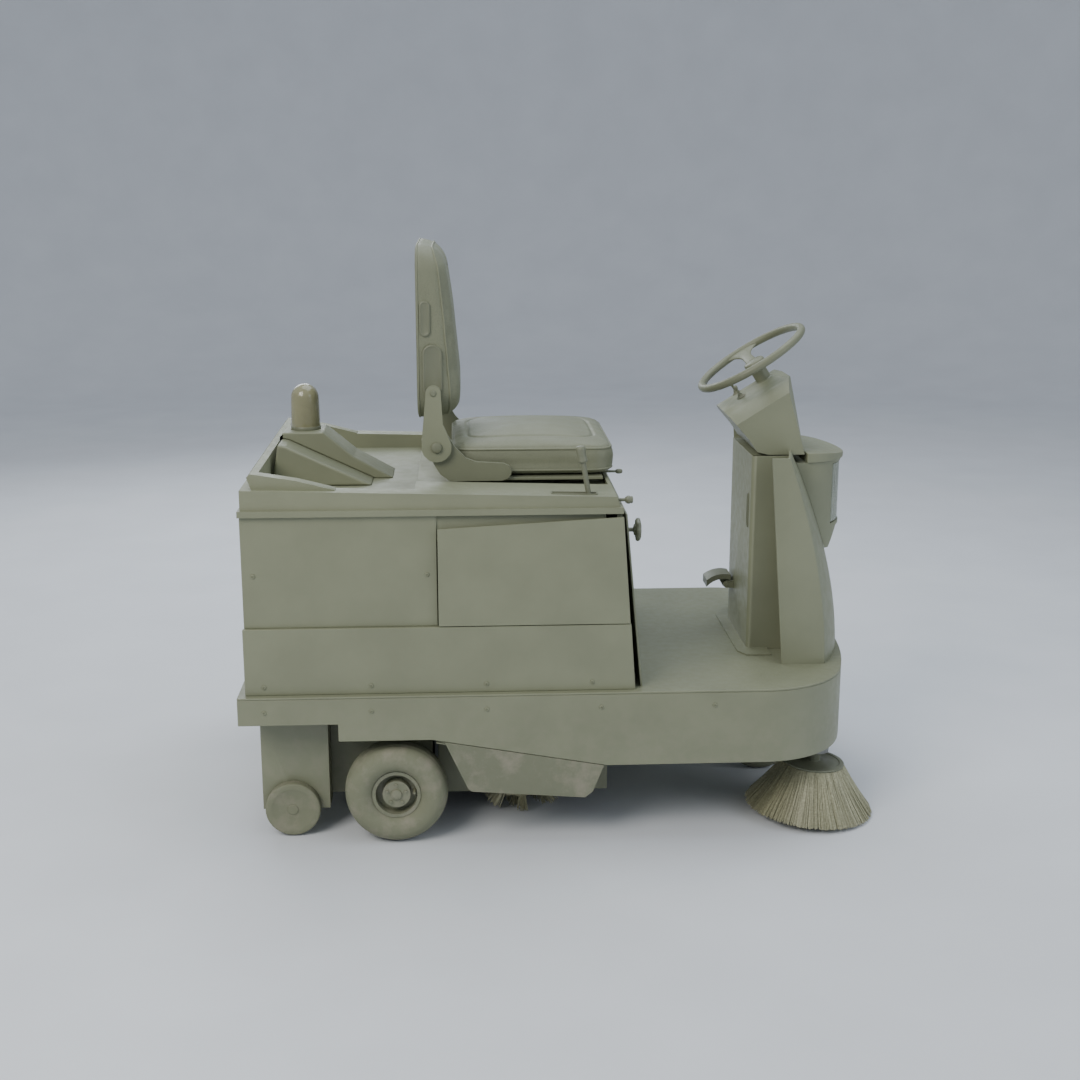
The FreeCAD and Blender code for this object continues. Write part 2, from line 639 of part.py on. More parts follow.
def console_corner(side, inset):
    """The block taken off one front corner of the dash, so its front is wider below. An inset
    moves its face inwards, to leave a wall round the hollow."""
    x0 = COLUMN_X0
    z0 = DECK_Z + COLUMN_H
    y = side * CONSOLE_HALF
    low = V(x0 + 129, y, z0 - 5)
    high = V(x0 + 82, y, z0 + 158)
    mid = V(x0 + 111, side * 30.0, z0 + 173)
    across = (mid - high).normalize() * 150
    up = (high - low).normalize() * 260
    facing = across.cross(up).normalize()
    facing = facing * math.copysign(1.0, facing.x)
    start = low - up * 0.2 - across * 0.2 - facing * inset
    corners = [start, start + across * 1.2, start + across * 1.2 + up * 1.4, start + up * 1.4]
    return Part.Face(Part.makePolygon(corners + corners[:1])).extrude(facing * (60.0 + inset))


def console_barrel(inset):
    """The cylinder that rounds the dash, its axis along the slope to the driver."""
    along = V(math.cos(TILT), 0, math.sin(TILT))
    centre = console_ridge() - AXIS * CONSOLE_CROWN
    return rod(centre, along, CONSOLE_CROWN - inset, -300, 300)


def console_ridge():
    """Highest line of the dash, over the column's rear face."""
    return V(COLUMN_X0 + 4, 0, DECK_Z + COLUMN_H + 140)


def console_head():
    """Barrel-topped dash, sloping down to the driver, hollow for the shaft and wiring."""
    side = [(-61, 99), (70, 180), (103, 180), (119, 47), (128, 2), (39, 2), (12, 9), (-8, 38)]
    body = console_side(side, CONSOLE_HALF).common(console_barrel(0))
    body = body.cut(console_corner(-1, 0)).cut(console_corner(1, 0))
    room = [(-10, 106), (64, 150), (93, 156), (110, 47), (114, -4), (34, -4), (8, 36)]
    hollow = console_side(room, CONSOLE_HALF - 14).common(console_barrel(6))
    hollow = hollow.cut(console_corner(-1, 7)).cut(console_corner(1, 7))
    bore = rod(V(WHEEL_X, 0, WHEEL_Z), AXIS, 16.0, -150, 50)
    return body.cut(hollow).cut(bore)


def steering_jacket():
    """Fixed tube round the upper steering shaft, from inside the console to the wheel hub."""
    return tube(V(WHEEL_X, 0, WHEEL_Z), AXIS, 15.9, SHAFT_R + RUN, -96.0, -64.0).fuse(
        tube(V(WHEEL_X, 0, WHEEL_Z), AXIS, 19.5, SHAFT_R + RUN, -58.0, -30.0)).fuse(
        tube(V(WHEEL_X, 0, WHEEL_Z), AXIS, 15.9, SHAFT_R + RUN, -64.0, -58.0))


def steering_shaft():
    """Upper shaft from the wheel hub down to the universal joint."""
    centre = V(WHEEL_X, 0, WHEEL_Z)
    reach = (KINGPIN_X - WHEEL_X) / math.sin(TILT)
    return rod(centre, AXIS, SHAFT_R, -reach + 15, -22.0)


def steering_wheel():
    """Rim, two flat spokes that slope down from it, and a sunk hub."""
    centre = V(WHEEL_X, 0, WHEEL_Z)
    rim = Part.makeTorus(WHEEL_R, WHEEL_TUBE, centre, AXIS)
    hub = rod(centre, AXIS, 27.0, -29.0, -8.0)
    bore = rod(centre, AXIS, SHAFT_R, -30.0, -22.0)
    wheel = rim.fuse([hub, spoke(centre, -1), spoke(centre, 1)])
    return wheel.cut(bore).removeSplitter()


def spoke(centre, side):
    """A flat bar from the hub out to the rim, on one side of the wheel."""
    along = V(math.cos(TILT), 0, math.sin(TILT))
    outline = [(18, -26), (WHEEL_R - 4, -5), (WHEEL_R - 4, 5), (18, -13)]
    start = centre - along * (SPOKE_W / 2)
    corners = [start + V(0, side * y, 0) + AXIS * s for y, s in outline + outline[:1]]
    return Part.Face(Part.makePolygon(corners)).extrude(along * SPOKE_W)


def pedal():
    """Curved treadle on a short arm that turns on a pin behind the column's back face."""
    pivot = V(COLUMN_X0 - 16, 55, DECK_Z + 112)
    arc_r = 70.0
    x = COLUMN_X0
    z = DECK_Z
    crest = V(x - 26, 55, z + 141 - arc_r)
    pad = rod(crest, ALONG_Y, arc_r, 0, 62).cut(rod(crest, ALONG_Y, arc_r - 13, -1, 63))
    pad = pad.common(box(x - 70, x - 8, 50, 120, z + 100, z + 160))
    arm = slab_y([(x - 32, z + 118), (x - 28, z + 130), (x - 9, z + 132), (x - 6, z + 112),
                  (x - 14, z + 103), (x - 24, z + 104)], 74, 98)
    boss = rod(V(pivot.x, 0, pivot.z), ALONG_Y, 10, 70, 102)
    hole = rod(V(pivot.x, 0, pivot.z), ALONG_Y, 5 + RUN, 69, 103)
    return pad.fuse(arm).fuse(boss).cut(hole).removeSplitter()


def pedal_bracket():
    """Two ears and a pin on the column that carry the pedal."""
    x = COLUMN_X0 - 16
    z = DECK_Z + 112
    ears = []
    for y in (62.0, 103.0):
        plate = rod(V(x, 0, z), ALONG_Y, 10, y, y + 6)
        ears.append(plate.fuse(box(x, COLUMN_X0, y, y + 6, z - 10, z + 10)))
    pin = rod(V(x, 0, z), ALONG_Y, 5, 60, 111)
    return ears[0].fuse([ears[1], pin])


def toggle(y):
    """Small switch lever: a trunnion across the machine, a tapered stalk and a round-ended tip."""
    foot = console_point(y, -20.0)
    trunnion = rod(foot, ALONG_Y, 5.0, -5.5, 5.5)
    outline = [(0, 0), (2.6, 0), (2.6, 14), (4.2, 18), (4.2, 23), (2.6, 25.5), (0, 25.5)]
    return trunnion.fuse(turned(outline, foot, AXIS)).removeSplitter()


def console_point(y, forward):
    """A point just over the console's barrel top: sideways y, then forward along the slope."""
    along = V(math.cos(TILT), 0, math.sin(TILT))
    drop = CONSOLE_CROWN - math.sqrt(CONSOLE_CROWN ** 2 - y ** 2)
    return console_ridge() + along * forward + V(0, y, 0) + AXIS * (6.5 - drop)


# ---- seat ---------------------------------------------------------------------------
def seat_rails():
    """Two fixed rails on the seat deck."""
    z = DECK_Z + SEAT_DECK
    rail = box(SEAT_X0 + 20, SEAT_X1 - 40, -150, -118, z, z + 10)
    return pair(rail)


def seat_frame():
    """Runners, pan and the two lower arms, which sweep back and up to the recline pivots."""
    z_rail = DECK_Z + SEAT_DECK + 10.5
    pan_z = SEAT_Z0 - 7.0
    pan = box(SEAT_X0 + 25, SEAT_X1 - 30, -SEAT_HALF - 4, SEAT_HALF + 4, pan_z, pan_z + 6)
    solids = [pan]
    for side in (-1, 1):
        y0 = 134.0 * side
        runner = box(SEAT_X0 + 30, SEAT_X1 - 95, y0 - 14, y0 + 14, z_rail, pan_z)
        solids.append(runner)
        arm = lower_arm()
        solids.append(arm if side < 0 else mirror_y(arm))
    return solids[0].fuse(solids[1:]).removeSplitter()


def lower_arm():
    """One lower arm: a flat bar with rounded ends, bent up at the rear round the pivot."""
    y1 = -SEAT_HALF - 4
    y0 = y1 - ARM_THICK
    side = [(-31, 37), (-15, 11), (7, -6), (128, -6), (141, -1), (149, 8), (150, 17), (144, 29),
            (132, 35), (68, 39), (45, 48), (20, 74), (4, 100), (-22, 90)]
    level = [(SEAT_X0 + x, SEAT_Z0 + z) for x, z in side]
    bar = slab_y(level, y0, y1)
    eye = rod(V(RECLINE_X, 0, RECLINE_Z), ALONG_Y, 30, y0, y1)
    pin = rod(V(RECLINE_X, 0, RECLINE_Z), ALONG_Y, RECLINE_R, y0 - 14, y0)
    return bar.fuse([eye, pin])


def upper_arms():
    """Two upper arms bolted to the backrest, each turning on a recline pivot pin."""
    y1 = -SEAT_HALF - 4 - ARM_THICK - GAP / 2
    y0 = y1 - ARM_THICK
    top = V(RECLINE_X - 6, 0, RECLINE_Z + ARM_REACH)
    side = [(-34, 4), (-33, 25), (-30, 53), (-23, 125), (11, 125), (15, 53), (24, 32), (33, 8)]
    bar = slab_y([(RECLINE_X + x, RECLINE_Z + z) for x, z in side], y0, y1)
    low = rod(V(RECLINE_X, 0, RECLINE_Z), ALONG_Y, 34, y0, y1)
    high = rod(top, ALONG_Y, 17, y0, y1)
    boss = rod(top, ALONG_Y, 12, y1, -BACK_HALF)
    hole = rod(V(RECLINE_X, 0, RECLINE_Z), ALONG_Y, RECLINE_R + RUN, y0 - 1, y1 + 1)
    return pair(bar.fuse([low, high, boss]).cut(hole).removeSplitter())


def seat_cushion():
    """Seat pad: a block with generous rounding on its top edges."""
    block = box(SEAT_X0, SEAT_X1, -SEAT_HALF, SEAT_HALF, SEAT_Z0, SEAT_Z1)
    block = round_edges(block, 45, lambda e: abs(middle(e).z - (SEAT_Z0 + SEAT_Z1) / 2) < 1)
    return round_edges(block, 28, lambda e: abs(middle(e).z - SEAT_Z1) < 1)


def backrest():
    """Back pad: flat behind, thinner towards the top, with rounded upper corners."""
    side = [(BACK_X0, BACK_Z0), (BACK_X1 - 26, BACK_Z0), (BACK_X1 - 6, BACK_Z0 + 14),
            (BACK_X1, BACK_Z0 + 38), (BACK_X0 + 66, BACK_Z1 - 50), (BACK_X0 + 54, BACK_Z1 - 14),
            (BACK_X0 + 34, BACK_Z1), (BACK_X0 + 8, BACK_Z1), (BACK_X0, BACK_Z1 - 8)]
    block = box(BACK_X0 - 1, BACK_X1 + 1, -BACK_HALF, BACK_HALF, BACK_Z0, BACK_Z1)
    block = round_edges(block, 60, lambda e: abs(middle(e).x - (BACK_X0 + BACK_X1) / 2) < 1)
    return slab_y(side, -BACK_HALF - 1, BACK_HALF + 1).common(block)


def seat_knob():
    """Slide-release handle that pokes out under the cushion's front edge."""
    z = SEAT_Z0 - 3.5
    bar = rod(V(SEAT_X1 - 26, RELEASE_Y, z), ALONG_X, 3.0, 0, 34)
    ball = rod(V(SEAT_X1 + 8, RELEASE_Y, z), ALONG_X, 6.0, 0, 16)
    return bar.fuse(ball)


# ---- controls on the body -----------------------------------------------------------
def lift_lever():
    """Hand lever for the side brush, through a slot in the top cover, with a turned grip."""
    pivot = V(LEVER_PIVOT_X, LEVER_Y, LEVER_PIVOT_Z)
    top = pivot + V(-41, 0, 225)
    line = top - pivot
    axis = V(line.x, line.y, line.z).normalize()
    bar = rod(pivot, axis, 6.0, 0, line.Length - 26)
    grip = rod(pivot, axis, 9.5, line.Length - 26, line.Length)
    boss = rod(pivot, ALONG_Y, 14, -8, 8)
    hole = rod(pivot, ALONG_Y, 6 + RUN, -9, 9)
    return bar.fuse([grip, boss]).cut(hole).removeSplitter()


def lever_bracket():
    """Ears and pin inside the body that carry the lift lever."""
    x = LEVER_PIVOT_X
    z = LEVER_PIVOT_Z
    pin = rod(V(x, LEVER_Y, z), ALONG_Y, 6, -14, 20)
    base = body_front(z) - 34.0 + 4
    ear = rod(V(x, LEVER_Y, z), ALONG_Y, 16, 10, 16)
    arm = box(x, base, LEVER_Y + 10, LEVER_Y + 16, z - 12, z + 12)
    return pin.fuse([ear, arm])


def handwheel():
    """Star knob on a threaded stem that sets the main broom's height."""
    z = KNOB_Z
    x0 = body_front(z) + 8
    stem = rod(V(x0 - 9, KNOB_Y, z), ALONG_X, STEM_R, 0, 35)
    disc = rod(V(x0 + 24, KNOB_Y, z), ALONG_X, 27.0, 0, 14)
    for step in range(6):
        angle = math.radians(60 * step)
        groove = V(x0 + 23, KNOB_Y + 31 * math.cos(angle), z + 31 * math.sin(angle))
        disc = disc.cut(rod(groove, ALONG_X, 7.5, 0, 18))
    return stem.fuse(disc)


def pull_knob():
    """Pull knob on the leaning front edge, above the handwheel."""
    x0 = BODY_REAR_X + BODY_LENGTH - FRONT_LEAN - 16
    stem = rod(V(x0, PULL_Y, PULL_Z), ALONG_X, PULL_R, 0, 26)
    cap = rod(V(x0 + 22, PULL_Y, PULL_Z), ALONG_X, 9.0, 0, 17)
    return stem.fuse(cap)


# ---- running gear -------------------------------------------------------------------
def axle_brackets():
    """Hangers under the rails with the stub axles the rear wheels run on."""
    y_in = HOUSING_HALF
    y_out = y_in + 16
    top = DECK_Z - SHEET - 40.0
    plate = slab_y([(REAR_AXLE_X - 60, top), (REAR_AXLE_X + 60, top),
                    (REAR_AXLE_X + 24, AXLE_Z - 20), (REAR_AXLE_X - 24, AXLE_Z - 20)],
                   -y_out, -y_in - 1)
    stub = rod(V(REAR_AXLE_X, 0, AXLE_Z), ALONG_Y, STUB_R,
               -REAR_WHEEL_Y - TYRE_HALF * 0.5, -y_in - 1)
    return pair(plate.fuse(stub).removeSplitter())


def tyre(centre, radius, half, bead):
    """Balloon tyre: an ellipse turned about the axle, with the bead seat cut through."""
    thick = (radius - bead) / 2.0
    mid = radius - thick
    major, minor, turn = (thick, half, 0.0)
    if minor > major:
        major, minor, turn = (half, thick, 90.0)
    ring = Part.Ellipse(V(mid, 0, 0), major, minor).toShape()
    ring.rotate(V(mid, 0, 0), UP, turn)
    ring.rotate(V(0, 0, 0), ALONG_X, 90)
    solid = Part.Face(Part.Wire([ring])).revolve(V(0, 0, 0), UP, 360)
    solid.rotate(V(0, 0, 0), ALONG_X, -90)
    solid.translate(centre)
    seat = rod(centre, ALONG_Y, bead + 6, -half - 1, half + 1)
    return Part.Solid(solid.cut(seat).Shells[0])


def hub(centre, bead, half, bore, side):
    """Wheel centre: a rim the tyre sits on, a web, a hub barrel and a raised cap."""
    rim = tube(centre, ALONG_Y, bead + 6, bead - 2, -half * 0.7, half * 0.7)
    web = rod(centre, ALONG_Y, bead, -6, 6)
    cap = rod(centre, ALONG_Y, 32.0, *sorted((side * half * 0.62, 0.0)))
    barrel = rod(centre, ALONG_Y, 24.0, -half * 0.62, half * 0.62)
    hole = rod(centre, ALONG_Y, bore + RUN, *sorted((side * half * 0.52, -side * half)))
    return rim.fuse([web, cap, barrel]).cut(hole).removeSplitter()


def kingpin_bearing():
    """Flanged bush under the deck that the kingpin turns in."""
    centre = V(KINGPIN_X, 0, 0)
    top = DECK_Z - SHEET
    flange = tube(centre, UP, 60, KINGPIN_R + RUN, top - 10, top)
    barrel = tube(centre, UP, 24, KINGPIN_R + RUN, top - 70, top)
    return flange.fuse(barrel).removeSplitter()


def kingpin_shaft():
    """Kingpin, the slim lower steering shaft and the universal joint's ball at its top."""
    centre = V(KINGPIN_X, 0, 0)
    reach = (KINGPIN_X - WHEEL_X) / math.sin(TILT)
    joint_z = WHEEL_Z - reach * math.cos(TILT)
    pin = rod(centre, UP, KINGPIN_R, crown_z(), DECK_Z + 10)
    shaft = rod(centre, UP, 9.0, DECK_Z + 10, joint_z)
    cross = Part.makeSphere(13.0, V(KINGPIN_X, 0, joint_z))
    return pin.fuse([shaft, cross]).removeSplitter()


def crown_z():
    """Height of the fork crown's underside, clear above the front tyre."""
    return 2 * FRONT_TYRE_R + FORK_GAP


def front_fork():
    """Crown plate and two cheeks that hold the front axle."""
    z = crown_z()
    y0 = FRONT_TYRE_HALF + FORK_GAP
    y1 = y0 + FORK_WALL
    crown = box(KINGPIN_X - 35, KINGPIN_X + 35, -y1, y1, z, z + 12)
    cheek = slab_y([(KINGPIN_X - 35, z + 12), (KINGPIN_X + 35, z + 12),
                    (KINGPIN_X + 16, FRONT_AXLE_Z - 16), (KINGPIN_X - 16, FRONT_AXLE_Z - 16)],
                   -y1, -y0)
    axle = rod(V(KINGPIN_X, 0, FRONT_AXLE_Z), ALONG_Y, 10, -y1 - 6, y1 + 6)
    hole = rod(V(KINGPIN_X, 0, 0), UP, KINGPIN_R, z - 1, z + 13)
    return crown.fuse([cheek, mirror_y(cheek), axle]).cut(hole).removeSplitter()


def front_hub():
    """Front wheel centre, bored for the fork's axle."""
    centre = V(KINGPIN_X, 0, FRONT_AXLE_Z)
    half = FRONT_TYRE_HALF
    rim = tube(centre, ALONG_Y, FRONT_BEAD_R + 6, FRONT_BEAD_R - 4, -half * 0.8, half * 0.8)
    web = rod(centre, ALONG_Y, FRONT_BEAD_R, -8, 8)
    barrel = rod(centre, ALONG_Y, 22, -half - 4, half + 4)
    hole = rod(centre, ALONG_Y, 10 + RUN, -half - 5, half + 5)
    return rim.fuse([web, barrel]).cut(hole).removeSplitter()


# ---- brooms -------------------------------------------------------------------------
def broom_core():
    """Tube, end discs and the through shaft that turns in the housing walls."""
    half = HOUSING_HALF - PANEL - 3 * FREE
    centre = V(BROOM_X, 0, BROOM_Z)
    core = tube(centre, ALONG_Y, BROOM_CORE_R, BROOM_CORE_R - 6, -half, half)
    discs = [rod(centre, ALONG_Y, BROOM_CORE_R - 3, y, y + 8) for y in (-half, half - 8)]
    shaft = rod(centre, ALONG_Y, BROOM_SHAFT_R, -HOUSING_HALF - 4, HOUSING_HALF + 14)
    return core.fuse(discs + [shaft]).removeSplitter()


def broom_bristles():
    """Bristle body of the main broom: a sleeve on the core with slightly smaller ends."""
    half = HOUSING_HALF - PANEL - 3 * FREE
    outline = [(BROOM_CORE_R, -half + 2), (BROOM_R - 5, -half + 2), (BROOM_R, -half + 14),
               (BROOM_R, half - 14), (BROOM_R - 5, half - 2), (BROOM_CORE_R, half - 2)]
    return turned(outline, V(BROOM_X, 0, BROOM_Z), ALONG_Y)


def broom_motor():
    """Drive motor of the main broom, outside the housing's left wall."""
    y0 = HOUSING_HALF + 0.5
    body = rod(V(BROOM_X, 0, BROOM_Z), ALONG_Y, 46, y0, y0 + 96)
    pocket = rod(V(BROOM_X, 0, BROOM_Z), ALONG_Y, BROOM_SHAFT_R + RUN, y0 - 1, y0 + 16)
    return body.cut(pocket)


def brush_axis():
    """Axis of the side brush: it leans so that the front bristles press the floor."""
    lean = math.radians(BRUSH_TILT)
    return V(math.sin(lean), 0, math.cos(lean))


def brush_foot():
    """Centre of the bristle tips, high enough for the lowest tip to clear the floor."""
    rise = BRUSH_R * math.sin(math.radians(BRUSH_TILT))
    return V(BRUSH_X, BRUSH_Y, rise + 1.5)


def brush_bristles():
    """Cone of bristles, hollow inside, flaring from the disc to the floor."""
    outline = [(BRUSH_TOP_R - BRUSH_RING, BRUSH_H), (BRUSH_TOP_R, BRUSH_H), (BRUSH_R, 0),
               (BRUSH_R - 26, 0), (BRUSH_TOP_R - BRUSH_RING, BRUSH_H - 14)]
    return turned(outline, brush_foot(), brush_axis())


def brush_disc():
    """Disc that the bristles are set in, with the drive boss on top."""
    foot = brush_foot()
    axis = brush_axis()
    disc = rod(foot, axis, BRUSH_TOP_R - BRUSH_RING, BRUSH_H - 14, BRUSH_H)
    plate = rod(foot, axis, BRUSH_TOP_R - 2, BRUSH_H, BRUSH_H + 5)
    boss = rod(foot, axis, 16.0, BRUSH_H, BRUSH_H + 30)
    hole = rod(foot, axis, 8 + RUN, BRUSH_H - 20, BRUSH_H + 31)
    return disc.fuse([plate, boss]).cut(hole).removeSplitter()


def brush_motor():
    """Gear motor over the brush, with the output shaft that turns the disc."""
    foot = brush_foot()
    axis = brush_axis()
    body = rod(foot, axis, BRUSH_MOTOR_R, BRUSH_H + 32, BRUSH_H + 130)
    shaft = rod(foot, axis, 8.0, BRUSH_H - 12, BRUSH_H + 32)
    return body.fuse(shaft)


def brush_arm():
    """Arm from the hinge on the frame to the collar round the side brush motor."""
    foot = brush_foot()
    axis = brush_axis()
    collar = rod(foot, axis, BRUSH_MOTOR_R + 6, BRUSH_H + 60, BRUSH_H + 84)
    eye_y0 = BRUSH_Y - 30
    eye_y1 = BRUSH_Y + 30
    pivot = V(BRUSH_PIVOT_X, 0, BRUSH_PIVOT_Z)
    eye = rod(pivot, ALONG_Y, 13, eye_y0, eye_y1)
    reach = foot.x + axis.x * (BRUSH_H + 72)
    bar = box(BRUSH_PIVOT_X, reach - 20, BRUSH_Y - 20, BRUSH_Y + 20,
              foot.z + BRUSH_H + 62, foot.z + BRUSH_H + 78)
    riser = box(BRUSH_PIVOT_X - 6, BRUSH_PIVOT_X + 12, BRUSH_Y - 20, BRUSH_Y + 20,
                foot.z + BRUSH_H + 62, BRUSH_PIVOT_Z)
    core = rod(foot, axis, BRUSH_MOTOR_R, BRUSH_H + 40, BRUSH_H + 100)
    hole = rod(pivot, ALONG_Y, 7 + RUN, eye_y0 - 1, eye_y1 + 1)
    return collar.fuse([bar, riser, eye]).cut(core).cut(hole).removeSplitter()


def brush_bracket():
    """Clevis and pin under the deck that the side brush arm hangs from."""
    pivot = V(BRUSH_PIVOT_X, 0, BRUSH_PIVOT_Z)
    ears = []
    for y in (BRUSH_Y - 41, BRUSH_Y + 33):
        plate = box(BRUSH_PIVOT_X - 16, BRUSH_PIVOT_X + 16, y, y + 8, BRUSH_PIVOT_Z,
                    DECK_Z - SHEET)
        ears.append(plate.fuse(rod(pivot, ALONG_Y, 16, y, y + 8)))
    pin = rod(pivot, ALONG_Y, 7, BRUSH_Y - 41, BRUSH_Y + 41)
    cap = box(BRUSH_PIVOT_X - 16, BRUSH_PIVOT_X + 16, BRUSH_Y - 41, BRUSH_Y + 41,
              DECK_Z - SHEET - 8, DECK_Z - SHEET)
    return ears[0].fuse([ears[1], pin, cap]).removeSplitter()


# ---- hopper -------------------------------------------------------------------------
def hopper_bin():
    """Debris bin: a tray open towards the broom, with a pull handle on the back."""
    w = PANEL
    outer = box(HOPPER_X0, HOPPER_X1, -HOPPER_HALF, HOPPER_HALF, HOPPER_Z0, HOPPER_TOP)
    inner = box(HOPPER_X0 + w, HOPPER_X1 + w, -HOPPER_HALF + w, HOPPER_HALF - w,
                HOPPER_Z0 + w, HOPPER_TOP - w)
    port = box(AIR_X - AIR_HALF, AIR_X + AIR_HALF, -AIR_HALF, AIR_HALF,
               HOPPER_TOP - 2 * w, HOPPER_TOP + w)
    z = HOPPER_TOP - 60
    grip = box(14, 24, -90, 90, z, z + 18)
    posts = [box(24, HOPPER_X0, y, y + 14, z, z + 18) for y in (-90, 76)]
    return outer.cut(inner).cut(port).fuse([grip] + posts).removeSplitter()


def hopper_legs():
    """Boxed legs at the sides of the bin, each with a stub for its transport roller."""
    leg = box(HOPPER_X0, LEG_X1, -LEG_OUT, -LEG_IN, LEG_Z0, HOPPER_TOP + 4)
    pad = box(HOPPER_X0 + 20, LEG_X1 - 20, -LEG_IN, -HOPPER_HALF, LEG_Z0 + 30, HOPPER_TOP - 20)
    z = ROLLER_R + ROLLER_GAP
    stub = rod(V(ROLLER_X, 0, z), ALONG_Y, 10, -LEG_OUT - ROLLER_W + 4, -LEG_OUT)
    return pair(leg.fuse([pad, stub]).removeSplitter())


def roller(side):
    """Transport roller that carries the bin once it is pulled out."""
    z = ROLLER_R + ROLLER_GAP
    centre = V(ROLLER_X, 0, z)
    y0 = -LEG_OUT - FREE - ROLLER_W
    y1 = -LEG_OUT - FREE
    disc = rod(centre, ALONG_Y, ROLLER_R, y0, y1)
    disc = disc.makeChamfer(3.0, [e for e in disc.Edges if e.Length > 300])
    hole = rod(centre, ALONG_Y, 10 + RUN, y0 + 4, y1 + 1)
    shape = disc.cut(hole)
    return shape if side < 0 else mirror_y(shape)


# ---- inside the body ----------------------------------------------------------------
def battery_pack():
    """Traction batteries under the seat: four cases side by side with ribbed lids."""
    cases = []
    for i in range(4):
        x0 = BODY_REAR_X + 423 + 100 * i
        case = box(x0, x0 + 96, -170, 170, DECK_Z, DECK_Z + 250)
        lid = box(x0 + 4, x0 + 92, -160, 160, DECK_Z + 250, DECK_Z + 262)
        cases.append(case.fuse(lid).removeSplitter())
    return Part.makeCompound(cases)


def filter_box():
    """Panel filter and fan housing over the hopper's air port."""
    frame = box(BODY_REAR_X + 43, BODY_REAR_X + 383, -200, 200, DECK_Z, DECK_Z + 200)
    duct = box(AIR_X - AIR_HALF, AIR_X + AIR_HALF, -AIR_HALF, AIR_HALF, DECK_Z - 1, DECK_Z + 120)
    fan = rod(V(AIR_X, 0, 0), UP, 110, DECK_Z + 200, DECK_Z + 290)
    return frame.cut(duct).fuse(fan).removeSplitter()


def main():
    """Write every piece to parts/."""
    os.makedirs("parts", exist_ok=True)
    simple = {
        "deck": deck, "skirts": skirts, "ladder_frame": ladder_frame,
        "broom_housing": broom_housing, "side_flaps": side_flaps,
        "lower_panels": lower_panels, "rear_side_panels": rear_side_panels,
        "rear_panel": rear_panel, "front_panel": front_panel, "front_bulkhead": front_frame,
        "top_cover": top_cover, "dust_cover": dust_cover, "beacon_pedestal": beacon_pedestal,
        "beacon_lens": beacon_lens,
        "steering_column": steering_column, "front_cowl": front_cowl,
        "headlamp_housing": headlamp_housing, "headlamp_hood": headlamp_hood,
        "headlamp_lens": headlamp_lens, "console_head": console_head,
        "steering_jacket": steering_jacket, "steering_shaft": steering_shaft,
        "steering_wheel": steering_wheel, "pedal": pedal,
        "seat_rails": seat_rails, "seat_frame": seat_frame, "upper_arms": upper_arms,
        "seat_cushion": seat_cushion, "backrest": backrest, "seat_knob": seat_knob,
        "lift_lever": lift_lever, "handwheel": handwheel,
        "pull_knob": pull_knob, "axle_brackets": axle_brackets,
        "kingpin_bearing": kingpin_bearing, "kingpin_shaft": kingpin_shaft,
        "front_fork": front_fork, "front_hub": front_hub, "broom_core": broom_core,
        "broom_bristles": broom_bristles, "broom_motor": broom_motor,
        "brush_bristles": brush_bristles, "brush_disc": brush_disc,
        "brush_motor": brush_motor, "brush_arm": brush_arm,
        "hopper_bin": hopper_bin, "hopper_legs": hopper_legs, "battery_pack": battery_pack,
        "filter_box": filter_box,
    }
    for name, make in simple.items():
        export(name, make())
    for side, word in ((-1, "right"), (1, "left")):
        axle = V(REAR_AXLE_X, side * REAR_WHEEL_Y, AXLE_Z)
        export("door_" + word, door(side))
        export("roller_" + word, roller(side))
        export("rear_tyre_" + word, tyre(axle, TYRE_R, TYRE_HALF, HUB_R))
        export("rear_hub_" + word, hub(axle, HUB_R, TYRE_HALF, STUB_R, side))
    front_axle = V(KINGPIN_X, 0, FRONT_AXLE_Z)
    export("front_tyre", tyre(front_axle, FRONT_TYRE_R, FRONT_TYRE_HALF, FRONT_BEAD_R))
    export("toggle_work", toggle(-30.0))
    export("toggle_lamp", toggle(28.0))


main()
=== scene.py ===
"""Ride-on sweeper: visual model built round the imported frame. Metres, +X forward, +Z up."""
import bpy
import bmesh
import json
import math
import numpy as np
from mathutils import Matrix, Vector
from mathutils.bvhtree import BVHTree


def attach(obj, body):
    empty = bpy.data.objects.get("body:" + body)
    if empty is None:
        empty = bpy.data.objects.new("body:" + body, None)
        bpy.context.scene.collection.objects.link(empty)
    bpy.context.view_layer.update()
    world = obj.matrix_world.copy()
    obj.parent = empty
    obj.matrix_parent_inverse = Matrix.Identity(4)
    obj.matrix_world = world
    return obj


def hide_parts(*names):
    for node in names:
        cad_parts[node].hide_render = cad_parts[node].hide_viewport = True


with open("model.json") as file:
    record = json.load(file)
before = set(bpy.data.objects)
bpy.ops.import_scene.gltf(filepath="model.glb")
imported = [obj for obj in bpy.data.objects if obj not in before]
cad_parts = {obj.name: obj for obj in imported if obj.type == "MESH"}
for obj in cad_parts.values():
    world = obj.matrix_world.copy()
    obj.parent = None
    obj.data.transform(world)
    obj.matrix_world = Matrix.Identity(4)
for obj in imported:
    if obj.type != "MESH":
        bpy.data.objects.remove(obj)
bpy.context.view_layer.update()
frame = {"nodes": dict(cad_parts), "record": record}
nodes = frame["nodes"]
record = frame["record"]
rng = np.random.default_rng(7)

BODY_OF = {n: b for b, members in record["behaviour"]["bodies"].items() for n in members}
SLOT_OF = {s["node"]: s["material_slot"] for s in record["subparts"]}


